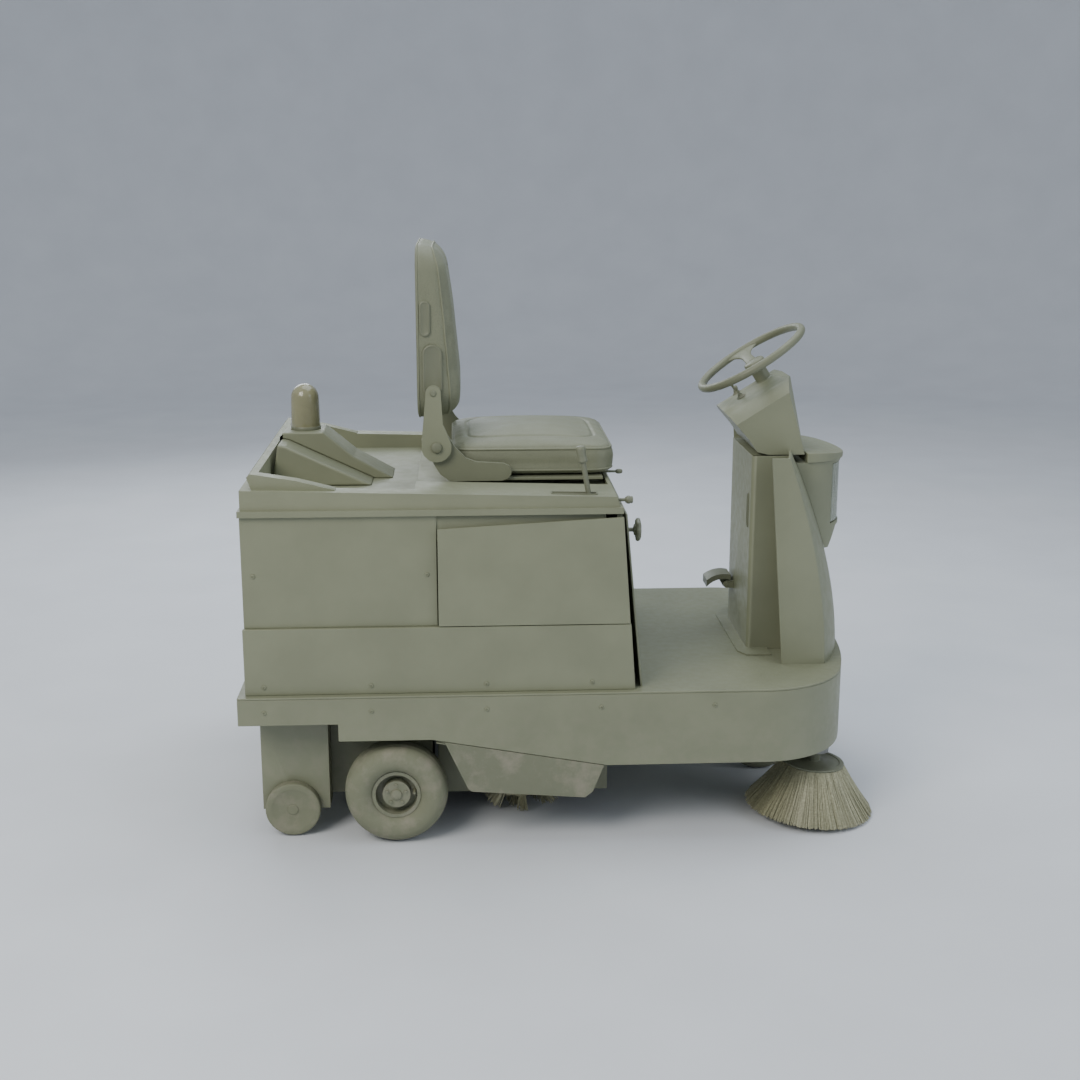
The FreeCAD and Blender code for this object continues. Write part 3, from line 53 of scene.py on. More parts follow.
# ---- camera -------------------------------------------------------------------------
def add_camera():
    """Camera at the driver's right, a little above the seat, looking across the machine."""
    pitch = math.radians(13.7)
    yaw = math.radians(3.05)
    forward = Vector((math.sin(yaw) * math.cos(pitch), math.cos(yaw) * math.cos(pitch),
                      -math.sin(pitch)))
    data = bpy.data.cameras.new("camera")
    data.sensor_width = 36.0
    data.lens = 50.0
    data.clip_end = 60.0
    camera = bpy.data.objects.new("camera", data)
    camera.location = (-0.2392, -3.6429, 1.505)
    camera.rotation_euler = forward.to_track_quat("-Z", "Y").to_euler()
    bpy.context.scene.collection.objects.link(camera)
    bpy.context.scene.camera = camera


add_camera()


# ---- finishes -----------------------------------------------------------------------
class Finish:
    """One procedural material under construction: nodes are added left of its shader."""

    def __init__(self, name, rough, metallic=0.0):
        """A shader of even roughness, with its patterns laid in the piece's own space."""
        self.material = bpy.data.materials.new(name)
        self.material.use_nodes = True
        self.tree = self.material.node_tree
        self.shader = self.tree.nodes["Principled BSDF"]
        self.shader.inputs["Roughness"].default_value = rough
        self.shader.inputs["Metallic"].default_value = metallic
        coords = self.tree.nodes.new("ShaderNodeTexCoord")
        self.place = coords.outputs["Object"]

    def add(self, kind, values=None, links=None, **settings):
        """A node of that kind with its settings, socket values and incoming links."""
        node = self.tree.nodes.new(kind)
        for key, value in settings.items():
            setattr(node, key, value)
        for key, value in (values or {}).items():
            node.inputs[key].default_value = value
        for key, value in (links or {}).items():
            self.tree.links.new(value, node.inputs[key])
        return node

    def noise(self, scale, detail=3.0, rough=0.5, stretch=None):
        """Cloud pattern in object space, stretched where the grain has a direction."""
        source = self.place
        if stretch:
            source = self.add("ShaderNodeMapping", {"Scale": stretch},
                              {"Vector": source}).outputs["Vector"]
        node = self.add("ShaderNodeTexNoise",
                        {"Scale": scale, "Detail": detail, "Roughness": rough},
                        {"Vector": source})
        return node.outputs["Fac"]

    def band(self, value, low, high, out_low=0.0, out_high=1.0):
        """Value stretched from low..high to out_low..out_high and held at the ends."""
        node = self.add("ShaderNodeMapRange",
                        {"From Min": low, "From Max": high, "To Min": out_low,
                         "To Max": out_high}, {"Value": value})
        return node.outputs["Result"]

    def mix(self, factor, first, second):
        """Colour between first and second; either may be a colour or a socket."""
        node = self.add("ShaderNodeMix", links={"Factor": factor}, data_type="RGBA")
        for socket, value in ((node.inputs[6], first), (node.inputs[7], second)):
            if isinstance(value, tuple):
                socket.default_value = value
            else:
                self.tree.links.new(value, socket)
        return node.outputs[2]

    def colour(self, socket):
        """Base colour taken from a socket."""
        self.tree.links.new(socket, self.shader.inputs["Base Color"])

    def roughness(self, socket):
        """Roughness taken from a socket."""
        self.tree.links.new(socket, self.shader.inputs["Roughness"])

    def relief(self, height, strength, distance):
        """Small surface relief driven by a height pattern."""
        bump = self.add("ShaderNodeBump", {"Strength": strength, "Distance": distance},
                        {"Height": height})
        self.tree.links.new(bump.outputs["Normal"], self.shader.inputs["Normal"])

    def heights(self, first, weight_first, second, weight_second):
        """Two height patterns added with their weights."""
        a = self.add("ShaderNodeMath", {1: weight_first}, {0: first}, operation="MULTIPLY")
        b = self.add("ShaderNodeMath", {1: weight_second}, {0: second},
                     operation="MULTIPLY_ADD")
        self.tree.links.new(a.outputs[0], b.inputs[2])
        return b.outputs[0]


def rgb(r, g, b, gain=1.0):
    """Opaque colour from linear parts, brightened or darkened by gain."""
    return (r * gain, g * gain, b * gain, 1.0)


SAGE = (0.205, 0.215, 0.140)


def painted(name, gain, rough, dust=0.35):
    """Powder coat: orange-peel relief, faint mottling, and dust that thickens near the floor."""
    f = Finish(name, rough)
    mottle = f.band(f.noise(9.0, 4.0), 0.35, 0.65)
    coat = f.mix(mottle, rgb(*SAGE, gain * 0.95), rgb(*SAGE, gain * 1.05))
    z = f.add("ShaderNodeSeparateXYZ", links={"Vector": f.place}).outputs["Z"]
    low = f.band(z, 0.05, 0.42, dust, 0.0)
    speck = f.band(f.noise(34.0, 5.0, 0.62), 0.42, 0.70)
    amount = f.add("ShaderNodeMath", links={0: low, 1: speck}, operation="MULTIPLY").outputs[0]
    f.colour(f.mix(amount, coat, rgb(0.30, 0.275, 0.215)))
    f.roughness(f.band(f.noise(55.0, 3.0), 0.3, 0.7, rough - 0.05, rough + 0.09))
    f.relief(f.heights(f.noise(420.0, 2.0), 1.0, f.noise(60.0, 2.0), 0.5), 0.10, 0.0006)
    return f.material


def moulded(name, colour, rough, grain=900.0, strength=0.22):
    """Moulded plastic: fine spark-eroded grain and slow changes of tone."""
    f = Finish(name, rough)
    tone = f.band(f.noise(6.0, 4.0), 0.35, 0.65)
    f.colour(f.mix(tone, rgb(*colour, 0.94), rgb(*colour, 1.06)))
    f.roughness(f.band(f.noise(40.0, 4.0), 0.3, 0.7, rough - 0.06, rough + 0.08))
    f.relief(f.heights(f.noise(grain, 2.0), 1.0, f.noise(90.0, 3.0), 0.4), strength, 0.0005)
    return f.material


def vinyl(name, gain):
    """Seat vinyl: pebbled leather grain from cells, with painted shade darkening the valleys
    between them, soft creases, and polish where it is sat on.
    """
    f = Finish(name, 0.5)
    cells = f.add("ShaderNodeTexVoronoi", {"Scale": 430.0}, {"Vector": f.place},
                  feature="DISTANCE_TO_EDGE").outputs["Distance"]
    pebble_height_and_shade = f.band(cells, 0.0, 0.16)
    tone = f.band(f.noise(7.0, 5.0), 0.35, 0.68)
    base = f.mix(tone, rgb(*SAGE, gain * 0.93), rgb(*SAGE, gain * 1.06))
    # painted shade: the valleys between the grain's cells, the low points of its relief, are
    # darkened to 70 % of the vinyl's colour
    f.colour(f.mix(pebble_height_and_shade, rgb(*SAGE, gain * 0.70), base))
    f.roughness(f.band(f.noise(12.0, 4.0), 0.3, 0.7, 0.42, 0.60))
    f.relief(f.heights(pebble_height_and_shade, 1.0, f.noise(26.0, 4.0), 0.9), 0.28, 0.0009)
    return f.material


def rubbery(name, colour, rough=0.78):
    """Rubber: matt, finely pitted, with a pale bloom of dust."""
    f = Finish(name, rough)
    bloom = f.band(f.noise(22.0, 6.0, 0.65), 0.48, 0.78)
    f.colour(f.mix(bloom, rgb(*colour), rgb(0.27, 0.25, 0.19)))
    f.roughness(f.band(f.noise(70.0, 4.0), 0.3, 0.7, rough - 0.1, rough + 0.1))
    f.relief(f.heights(f.noise(520.0, 3.0), 1.0, f.noise(80.0, 4.0), 0.8), 0.3, 0.0007)
    return f.material


def metal(name, colour, rough, stretch=(1.0, 1.0, 1.0), scale=220.0):
    """Machined or cast metal: fine marks all over and a patchy sheen."""
    f = Finish(name, rough, 1.0)
    tone = f.band(f.noise(18.0, 5.0), 0.3, 0.7)
    f.colour(f.mix(tone, rgb(*colour, 0.8), rgb(*colour, 1.05)))
    f.roughness(f.band(f.noise(scale, 4.0, 0.6, stretch), 0.3, 0.7, rough - 0.1, rough + 0.14))
    f.relief(f.noise(scale, 3.0, 0.5, stretch), 0.12, 0.0004)
    return f.material


def bristle_nylon(name, colour):
    """Nylon filaments: each strand a slightly different shade."""
    f = Finish(name, 0.5)
    shade = f.band(f.noise(240.0, 2.0), 0.3, 0.7)
    f.colour(f.mix(shade, rgb(*colour, 0.72), rgb(*colour, 1.2)))
    f.relief(f.noise(900.0, 2.0, 0.5, (1.0, 1.0, 0.1)), 0.2, 0.0004)
    return f.material


def clear_moulding(name, colour, rough=0.12, clear=0.35):
    """Tinted clear plastic with a faint inner haze."""
    f = Finish(name, rough)
    haze = f.band(f.noise(30.0, 3.0), 0.3, 0.7)
    f.colour(f.mix(haze, rgb(*colour, 0.9), rgb(*colour, 1.1)))
    f.shader.inputs["Transmission Weight"].default_value = clear
    f.shader.inputs["IOR"].default_value = 1.49
    f.shader.inputs["Coat Weight"].default_value = 0.4
    f.relief(f.noise(200.0, 2.0), 0.04, 0.0004)
    return f.material


FINISH = {
    "chassis_paint": painted("chassis_paint", 1.0, 0.46),
    "panel_paint": painted("panel_paint", 1.02, 0.42, 0.2),
    "cover_plastic": moulded("cover_plastic", SAGE, 0.50),
    "frame_steel": moulded("frame_steel", (0.175, 0.184, 0.120), 0.45, 500.0, 0.1),
    "bright_steel": metal("bright_steel", (0.50, 0.50, 0.46), 0.32),
    "flap_rubber": rubbery("flap_rubber", (0.165, 0.173, 0.115), 0.72),
    "tyre_rubber": rubbery("tyre_rubber", (0.185, 0.192, 0.125)),
    # hub paint darkened to 0.86 of the body tone: painted shade standing in for the dark gap round
    # the rim; its heavier dust is dust
    "hub_paint": painted("hub_paint", 0.86, 0.42, 0.6),
    "seat_vinyl": vinyl("seat_vinyl", 1.0),
    "bristle": bristle_nylon("bristle", (0.34, 0.33, 0.21)),
    "grip_plastic": moulded("grip_plastic", (0.160, 0.168, 0.112), 0.42, 700.0, 0.2),
    "wheel_grip": moulded("wheel_grip", (0.165, 0.172, 0.110), 0.44, 1100.0, 0.3),
    "beacon_plastic": clear_moulding("beacon_plastic", (0.30, 0.29, 0.17), 0.18, 0.25),
    "lamp_clear": clear_moulding("lamp_clear", (0.46, 0.50, 0.40), 0.10, 0.6),
    "motor_alloy": metal("motor_alloy", (0.28, 0.28, 0.27), 0.55, scale=120.0),
}


# ---- making pieces ------------------------------------------------------------------
def seat_piece(name, mesh, body, slot, replaced=(), crease=40.0):
    """Link a finished mesh as a piece that rides a body and has a slot's finish."""
    piece = bpy.data.objects.new(name, mesh)
    bpy.context.scene.collection.objects.link(piece)
    mesh.shade_smooth()
    mesh.set_sharp_from_angle(angle=math.radians(crease))
    mesh.materials.clear()
    mesh.materials.append(FINISH[slot])
    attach(piece, body)
    for node in replaced:
        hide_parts(node)
    return piece


def mesh_from(name, points, faces):
    """Mesh from arrays of points and faces, with doubles merged and normals made to agree."""
    mesh = bpy.data.meshes.new(name)
    mesh.from_pydata(np.asarray(points, float).tolist(), [], [list(f) for f in faces])
    tidy(mesh)
    return mesh


def tidy(mesh):
    """Merge coincident points and turn the faces outwards."""
    bm = bmesh.new()
    bm.from_mesh(mesh)
    bmesh.ops.remove_doubles(bm, verts=bm.verts, dist=1e-6)
    bmesh.ops.recalc_face_normals(bm, faces=bm.faces)
    bm.to_mesh(mesh)
    bm.free()


def grid_faces(rows, cols, wrap_rows=False, wrap_cols=False):
    """Quads of a rows x cols grid of points, row by row, wrapped where asked."""
    r = np.arange(rows if wrap_rows else rows - 1)
    c = np.arange(cols if wrap_cols else cols - 1)
    r, c = np.meshgrid(r, c, indexing="ij")
    r2 = (r + 1) % rows
    c2 = (c + 1) % cols
    quads = np.stack([r * cols + c, r * cols + c2, r2 * cols + c2, r2 * cols + c], -1)
    return quads.reshape(-1, 4)


def eased(node, width):
    """The CAD node with its points welded, its flat faces joined and its hard edges rounded."""
    mesh = nodes[node].data.copy()
    bm = bmesh.new()
    bm.from_mesh(mesh)
    bmesh.ops.remove_doubles(bm, verts=bm.verts, dist=2e-6)
    bmesh.ops.dissolve_limit(bm, angle_limit=math.radians(1.0), verts=bm.verts, edges=bm.edges)
    bm.to_mesh(mesh)
    bm.free()
    piece = seat_piece(node + "_shell", mesh, BODY_OF[node], SLOT_OF[node], (node,))
    bevel = piece.modifiers.new("round_edges", "BEVEL")
    bevel.width = width
    bevel.segments = 2
    bevel.limit_method = "ANGLE"
    bevel.angle_limit = math.radians(30.0)
    bevel.harden_normals = True


for node_name, node in nodes.items():
    node.data.materials.clear()
    node.data.materials.append(FINISH[SLOT_OF[node_name]])

EASED = {
    "deck": 0.002, "skirts": 0.002, "side_flaps": 0.0015, "lower_panels": 0.0018,
    "rear_side_panels": 0.0015, "rear_panel": 0.0012, "front_panel": 0.0015,
    "door_right": 0.0018, "door_left": 0.0018, "top_cover": 0.004, "dust_cover": 0.006,
    "beacon_pedestal": 0.005, "steering_column": 0.0016, "front_cowl": 0.0025,
    "headlamp_housing": 0.003, "headlamp_hood": 0.003, "console_head": 0.004,
    "axle_brackets": 0.0015, "hopper_bin": 0.0015, "hopper_legs": 0.003,
    "seat_frame": 0.002, "upper_arms": 0.003, "pedal": 0.002, "broom_housing": 0.0015,
}
for node_name, width in EASED.items():
    eased(node_name, width)


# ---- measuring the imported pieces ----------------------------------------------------
SHIFT = 0.748311


def place(x, y, z):
    """A point from the maker's drawing, in millimetres from the chassis rear, in metres."""
    return np.array([x / 1000.0 - SHIFT, y / 1000.0, z / 1000.0])


def extent(node):
    """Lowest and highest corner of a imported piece."""
    mesh = nodes[node].data
    flat = np.empty(len(mesh.vertices) * 3)
    mesh.vertices.foreach_get("co", flat)
    points = flat.reshape(-1, 3)
    return points.min(0), points.max(0)


# ---- surfaces -----------------------------------------------------------------------
X = np.array([1.0, 0.0, 0.0])
Y = np.array([0.0, 1.0, 0.0])
Z = np.array([0.0, 0.0, 1.0])


def unit(vector):
    """The vector at length one."""
    vector = np.asarray(vector, float)
    return vector / np.linalg.norm(vector)


def turned(profile, centre, axis, around=64, relief=None, loop=False):
    """Surface of revolution. Row i holds the profile's radius and distance along the axis; column
    j is that point turned by j parts of a full turn. Relief adds to the radius, from angle and
    row position. A loop profile closes on itself."""
    radius, along = np.asarray(profile, float).T
    axis = unit(axis)
    first = unit(np.cross(axis, X if abs(axis[0]) < 0.9 else Z))
    second = np.cross(axis, first)
    angle = np.linspace(0.0, 2.0 * np.pi, around, endpoint=False)
    reach = np.repeat(radius[:, None], around, 1)
    if relief is not None:
        rows = np.linspace(0.0, 1.0, len(radius))
        reach = reach + relief(angle[None, :], rows[:, None]) * (radius[:, None] > 1e-5)
    spread = np.cos(angle)[:, None] * first + np.sin(angle)[:, None] * second
    points = centre + reach[:, :, None] * spread[None] + along[:, None, None] * axis
    return points.reshape(-1, 3), grid_faces(len(radius), around, loop, True)


def arc(centre, radius, start, end, count):
    """Points round part of a circle, from start to end in degrees."""
    angle = np.radians(np.linspace(start, end, count))
    return np.stack([centre[0] + radius * np.cos(angle), centre[1] + radius * np.sin(angle)], -1)


def rounded_rectangle(half_a, half_b, radius, per_corner=10, per_side=10):
    """Closed outline of a rectangle whose corners are arcs, anticlockwise from its right side."""
    corners = [(half_a - radius, half_b - radius, 0), (radius - half_a, half_b - radius, 90),
               (radius - half_a, radius - half_b, 180), (half_a - radius, radius - half_b, 270)]
    arcs = [arc((a, b), radius, turn, turn + 90, per_corner) for a, b, turn in corners]
    rows = []
    for this, following in zip(arcs, arcs[1:] + arcs[:1]):
        share = np.linspace(0.0, 1.0, per_side + 2)[1:-1, None]
        rows += [this, this[-1] * (1 - share) + following[0] * share]
    return np.concatenate(rows)


def outward(outline):
    """Unit normals of a closed anticlockwise outline, from the chord between each point's
    neighbours turned a quarter turn."""
    chord = np.roll(outline, -1, 0) - np.roll(outline, 1, 0)
    normal = np.stack([chord[:, 1], -chord[:, 0]], -1)
    return normal / np.linalg.norm(normal, axis=1, keepdims=True)


def carried(outline, section, origin, across, up, loop=True):
    """A section carried round a closed outline. Row i is the outline moved outwards by the
    section's first number and off its plane by the second; a loop section closes on itself, and
    otherwise the first and last rows are capped flat."""
    outline = np.asarray(outline, float)
    across, up = unit(across), unit(up)
    off = np.cross(across, up)
    out, lift = np.asarray(section, float).T
    flat = outline[None] + out[:, None, None] * outward(outline)[None]
    points = origin + flat[..., :1] * across + flat[..., 1:] * up + lift[:, None, None] * off
    rows, cols = points.shape[:2]
    faces = [tuple(face) for face in grid_faces(rows, cols, loop, True)]
    if not loop:
        faces += [tuple(range(cols)), tuple(range((rows - 1) * cols, rows * cols))]
    return points.reshape(-1, 3), faces


def eased_edges(depth, ease, steps=3):
    """Section of a plate: drawn in at both faces along quarter circles, full width between."""
    turn = np.linspace(0.0, np.pi / 2, steps + 1)
    low = np.stack([-ease * (1 - np.sin(turn)), ease * (1 - np.cos(turn))], -1)
    high = np.stack([low[::-1, 0], depth - low[::-1, 1]], -1)
    return np.concatenate([low, high])


def plate(outline, depth, ease, origin, across, up):
    """A flat piece of the outline's shape with eased rims."""
    return carried(outline, eased_edges(depth, ease), origin, across, up, loop=False)


def rings_across(side, top, count):
    """A unit circle of points for each pair of cross directions."""
    angle = np.linspace(0.0, 2 * np.pi, count, endpoint=False)
    return (np.cos(angle)[None, :, None] * side[:, None]
            + np.sin(angle)[None, :, None] * top[:, None])


def bar(path, radius, reference, sides=12, closed=False):
    """Round bar along a path: circles across the direction of travel, squared to a reference."""
    path = np.asarray(path, float)
    if closed:
        travel = np.roll(path, -1, 0) - np.roll(path, 1, 0)
    else:
        travel = np.gradient(path, axis=0)
    travel = travel / np.linalg.norm(travel, axis=1, keepdims=True)
    side = np.cross(travel, reference)
    side = side / np.linalg.norm(side, axis=1, keepdims=True)
    top = np.cross(side, travel)
    thick = np.broadcast_to(np.asarray(radius, float), (len(path),))[:, None, None]
    ring = rings_across(side, top, sides)
    points = path[:, None] + thick * ring
    faces = [tuple(face) for face in grid_faces(len(path), sides, closed, True)]
    if not closed:
        last = (len(path) - 1) * sides
        faces += [tuple(range(sides)), tuple(range(last, last + sides))]
    return points.reshape(-1, 3), faces


def together(*parts):
    """Several surfaces as one list of points and faces."""
    points, faces, start = [], [], 0
    for part_points, part_faces in parts:
        points.append(np.asarray(part_points, float))
        faces += [tuple(int(i) + start for i in face) for face in part_faces]
        start += len(part_points)
    return np.concatenate(points), faces


def mirrored(part):
    """The same surface on the other side of the machine."""
    points, faces = part
    return points * (1, -1, 1), [tuple(face)[::-1] for face in faces]


def made(name, part, body, slot, replaced=(), crease=40.0):
    """A surface as a finished piece on a body."""
    return seat_piece(name, mesh_from(name, *part), body, slot, replaced, crease)


def hexagon(radius, height, centre, axis):
    """Bolt head: six flats under a rounded crown, with a washer face below."""
    corner = lambda angle, row: radius * 0.07 * (np.abs(np.cos(3 * angle)) - 1) * (row > 0.2)
    profile = [(0, -height * 0.2), (radius * 1.35, -height * 0.2), (radius * 1.35, 0),
               (radius, 0), (radius, height * 0.8), (radius * 0.86, height), (0, height)]
    return turned(profile, centre, axis, 36, corner)


# ---- wheels -------------------------------------------------------------------------
def balloon_tyre(node):
    """Tyre: an oval section with fine circumferential grooves in its tread, a thin moulded line
    on each shoulder, and an inner side cut off straight where it meets the wheel."""
    low, high = extent(node)
    centre = (low + high) / 2
    outer = (high[2] - low[2]) / 2
    half = (high[1] - low[1]) / 2
    bead = 0.050
    inner = bead + 0.004
    groove_depth = 0.0011
    line_depth = 0.0008
    thick = (outer - bead) / 2
    angle = np.linspace(-np.pi, np.pi, 90, endpoint=False)
    power = 0.88
    swell = np.sign(np.cos(angle)) * np.abs(np.cos(angle)) ** power
    spread = np.sign(np.sin(angle)) * np.abs(np.sin(angle)) ** power
    radius = outer - thick + thick * swell
    along = half * spread
    tread = np.clip((np.cos(angle) - 0.72) / 0.1, 0, 1)
    radius = radius - groove_depth * tread * (np.cos(along / half * np.pi * 6.5) < -0.55)
    shoulder = np.exp(-((np.abs(angle) - 1.12) / 0.035) ** 2)
    radius = radius - line_depth * shoulder
    keep = radius > inner
    profile = np.stack([np.maximum(radius, inner), along], -1)
    profile = profile[keep | (np.abs(along) < half * 0.72)]
    made(node + "_balloon", turned(profile, centre, Y, 128, None, True), BODY_OF[node],
         SLOT_OF[node], (node,), 60.0)


for tyre in ("rear_tyre_right", "rear_tyre_left", "front_tyre"):
    balloon_tyre(tyre)


def hub_fittings(side, word):
    """Grease cap in the middle of the hub disc, five bolt heads round it and a tyre valve."""
    low, high = extent("rear_hub_" + word)
    centre = (low + high) / 2
    out = Y * side
    bolts, bolt_circle = 5, 0.0225
    valve_circle = 0.041
    disc = centre + out * 0.0298
    cap = turned([(0, -0.003), (0.0125, -0.003), (0.0125, 0.003), (0.0115, 0.0046),
                  (0.006, 0.0062), (0, 0.0066)], disc, out, 40)
    parts = [cap]
    for step in range(bolts):
        turn = 2 * math.pi * step / bolts + 0.3
        spot = disc + np.array([math.cos(turn), 0, math.sin(turn)]) * bolt_circle
        parts.append(hexagon(0.0036, 0.0030, spot, out))
    stem = centre + np.array([valve_circle, 0, 0]) + out * 0.006
    parts.append(turned([(0, 0), (0.0045, 0), (0.0042, 0.010), (0.0034, 0.011), (0.0034, 0.020),
                         (0.0028, 0.021), (0, 0.021)], stem, out, 20))
    made("hub_fittings_" + word, together(*parts), BODY_OF["rear_hub_" + word], "hub_paint")


hub_fittings(-1, "right")
hub_fittings(1, "left")


def transport_roller(side, word):
    """Solid roller: a tread with rounded shoulders, a shallow dished face and an axle cap."""
    low, high = extent("roller_" + word)
    centre = (low + high) / 2
    radius = (high[2] - low[2]) / 2
    half = (high[1] - low[1]) / 2
    shoulder = 0.004
    bore = 0.0102
    rim = arc((radius - shoulder, half - shoulder), shoulder, 90, 0, 6)
    back = arc((radius - shoulder, -half + shoulder), shoulder, 0, -90, 6)
    face = [(0, half), (0.011, half), (0.0125, half - 0.0012), (0.0125, half - 0.0025),
            (radius * 0.70, half - 0.0025), (radius * 0.76, half - 0.0006),
            (radius * 0.80, half)]
    tail = [(bore, -half), (bore, half - 0.006), (0, half - 0.006)]
    profile = np.concatenate([face, rim, back, tail])
    made("roller_disc_" + word, turned(profile, centre, Y * side, 96), BODY_OF["roller_" + word],
         SLOT_OF["roller_" + word], ("roller_" + word,), 35.0)


transport_roller(-1, "right")
transport_roller(1, "left")


# ---- steering -----------------------------------------------------------------------
TILT = math.radians(32.0)
POST = np.array([-math.sin(TILT), 0.0, math.cos(TILT)])
SLOPE = np.array([math.cos(TILT), 0.0, math.sin(TILT)])
WHEEL_CENTRE = place(1221.0, 0.0, 1069.0)
WHEEL_R = 0.138


def spoke(side):
    """Strap spoke: an oval section carried from the hub to the rim. It climbs from the sunk hub,
    narrows to about 26 mm, then spreads until its end follows the rim's inner curve."""
    rows, sides = 34, 28
    run = np.linspace(0.0, 1.0, rows)
    angle = np.linspace(0.0, 2 * np.pi, sides, endpoint=False)
    flare = np.clip((run - 0.50) / 0.50, 0, 1)
    width = 0.0125 + 0.040 * flare ** 2.6 + 0.004 * (1 - run) ** 3
    thick = 0.0062 - 0.0012 * np.sin(np.pi * run)
    centre = -0.0200 + 0.0200 * (run ** 1.35)
    a = width[:, None] * np.sign(np.cos(angle)) * np.abs(np.cos(angle)) ** 0.8
    s = centre[:, None] + thick[:, None] * np.sin(angle) * (1 - 0.25 * flare[:, None])
    end = np.sqrt(np.maximum((WHEEL_R - 0.003) ** 2 - a ** 2, 0.0))
    y = 0.012 * (1 - run[:, None]) + end * run[:, None]
    points = (WHEEL_CENTRE + a[..., None] * SLOPE + side * y[..., None] * Y + s[..., None] * POST)
    faces = [tuple(f) for f in grid_faces(rows, sides, False, True)]
    faces += [tuple(range(sides)), tuple(range((rows - 1) * sides, rows * sides))]
    return points.reshape(-1, 3), faces


def steering_wheel():
    """Rim with shallow finger swells on its underside, two spokes and a dished hub."""
    angle = np.linspace(0, 2 * np.pi, 24, endpoint=False)
    grip = 0.0098
    ring = np.stack([WHEEL_R + grip * np.cos(angle), grip * np.sin(angle)], -1)
    swells = lambda turn, row: 0.00035 * np.cos(36 * turn) * np.sin(2 * np.pi * row) ** 2
    rim = turned(ring, WHEEL_CENTRE, POST, 216, swells, True)
    hub = turned([(0.0121, -0.0290), (0.0225, -0.0290), (0.0262, -0.0262), (0.0270, -0.0220),
                  (0.0262, -0.0128), (0.0235, -0.0096), (0.0200, -0.0086), (0.0185, -0.0100),
                  (0.0180, -0.0094), (0.0120, -0.0082), (0, -0.0078)], WHEEL_CENTRE, POST, 72)
    made("steering_rim", together(rim, hub, spoke(-1), spoke(1)), "steering", "wheel_grip",
         ("steering_wheel",), 50.0)


steering_wheel()


def jacket():
    """Tube between the dash and the wheel: a collar at the dash and a rolled lip under the hub."""
    profile = [(0.0122, -0.096), (0.0158, -0.096), (0.0158, -0.0675), (0.0235, -0.0675),
               (0.0235, -0.0645), (0.0222, -0.0625), (0.0196, -0.0610), (0.0192, -0.0335),
               (0.0198, -0.0325), (0.0198, -0.0308), (0.0190, -0.0300), (0.0122, -0.0300)]
    made("column_tube", turned(profile, WHEEL_CENTRE, POST, 72, None, True), "chassis",
         SLOT_OF["steering_jacket"], ("steering_jacket",))


jacket()


# ---- seat ---------------------------------------------------------------------------
def padded_block(half_a, half_b, corner, rows):
    """Closed pad: rounded rectangles stacked by rows. Each row gives how far the outline is drawn
    in, as metres, and its height; the first and last rows are capped by rings that shrink to a
    point."""
    loops = []
    for inset, height in rows:
        outline = rounded_rectangle(half_a - inset, half_b - inset,
                                    max(corner - inset * 0.6, 0.004), 12, 14)
        loops.append(np.concatenate([outline, np.full((len(outline), 1), height)], -1))
    return np.stack(loops)


def crown(share):
    """How full a pad is from its rim, 0, to its middle, 1: quick at first, then nearly flat."""
    return 1.0 - (1.0 - share) ** 2.3


def cushion_points():
    """Seat pad: a flat underside, an upright band that bulges a little, an edge rolled at the
    welt, and a top whose height follows the crown and falls off to the front and back."""
    low, high = extent("seat_cushion")
    half = (high - low) / 2
    mid = (high + low) / 2
    top = high[2] - 0.013
    gap = 0.002
    rim = 0.018
    nose_swell = 0.011
    inset = np.array([0.150, 0.080, 0.030, 0.012, 0.005, 0.004, 0.003, 0.004, 0.006, 0.010, 0.018])
    height = low[2] + np.array([0.002, 0.002, 0.002, 0.004, 0.012, 0.026, 0.042, 0.056, 0.064,
                                0.071, 0.077])
    rows = list(zip(inset, height))
    share = np.linspace(0.0, 1.0, 12)[1:]
    rise = top - height[-1]
    reach = min(half[0], half[1]) - rim - 0.006
    rows += [(rim + reach * s, height[-1] + rise * crown(s)) for s in share]
    grid = padded_block(half[0] - gap, half[1] - gap, 0.052, rows)
    fall = np.abs(grid[..., 0] / half[0])
    upper = np.clip((grid[..., 2] - height[-2]) / rise, 0, 1)
    grid[..., 2] -= upper * (0.016 * fall ** 2.5 + 0.012 * np.abs(grid[..., 1] / half[1]) ** 2)
    level = np.clip((grid[..., 2] - low[2]) / 0.085, 0, 1)
    nose = np.clip(grid[..., 0] / half[0], 0, 1) ** 2
    grid[..., 0] += nose_swell * nose * np.sin(np.pi * level ** 0.8)
    grid[..., :2] += mid[:2]
    return grid


def backrest_points():
    """Back pad: a flat back, sides that meet a rolled front edge, and a front that leans back as
    it rises, fullest at the lumbar."""
    low, high = extent("backrest")
    half = (high - low) / 2
    mid = (high + low) / 2
    edge = np.array([0.160, 0.080, 0.012, 0.004, 0.002, 0.001, 0.001, 0.002, 0.003, 0.008, 0.018,
                     0.032])
    depth = np.array([0.000, 0.000, 0.000, 0.001, 0.004, 0.20, 0.35, 0.50, 0.64, 0.80, 0.92, 0.98])
    share = np.linspace(0.0, 1.0, 11)[1:]
    gap = 0.002
    rim = 0.032
    reach = half[2] - rim - 0.005
    rows = list(zip(edge, depth)) + [(rim + reach * s, 0.98 + 0.02 * crown(s)) for s in share]
    grid = padded_block(half[2] - gap, half[1] - gap, 0.058, rows)
    z = grid[..., 0] + mid[2]
    span = np.interp(z, low[2] + np.array([0.0, 0.03, 0.08, 0.26, 0.36, 0.395, 0.407]),
                     np.array([0.088, 0.096, 0.097, 0.080, 0.066, 0.052, 0.040]))
    deep = np.clip(grid[..., 2], 0, 1)
    x = low[0] + gap + np.where(deep < 0.1, deep, deep * span)
    return np.stack([x, grid[..., 1], z], -1)


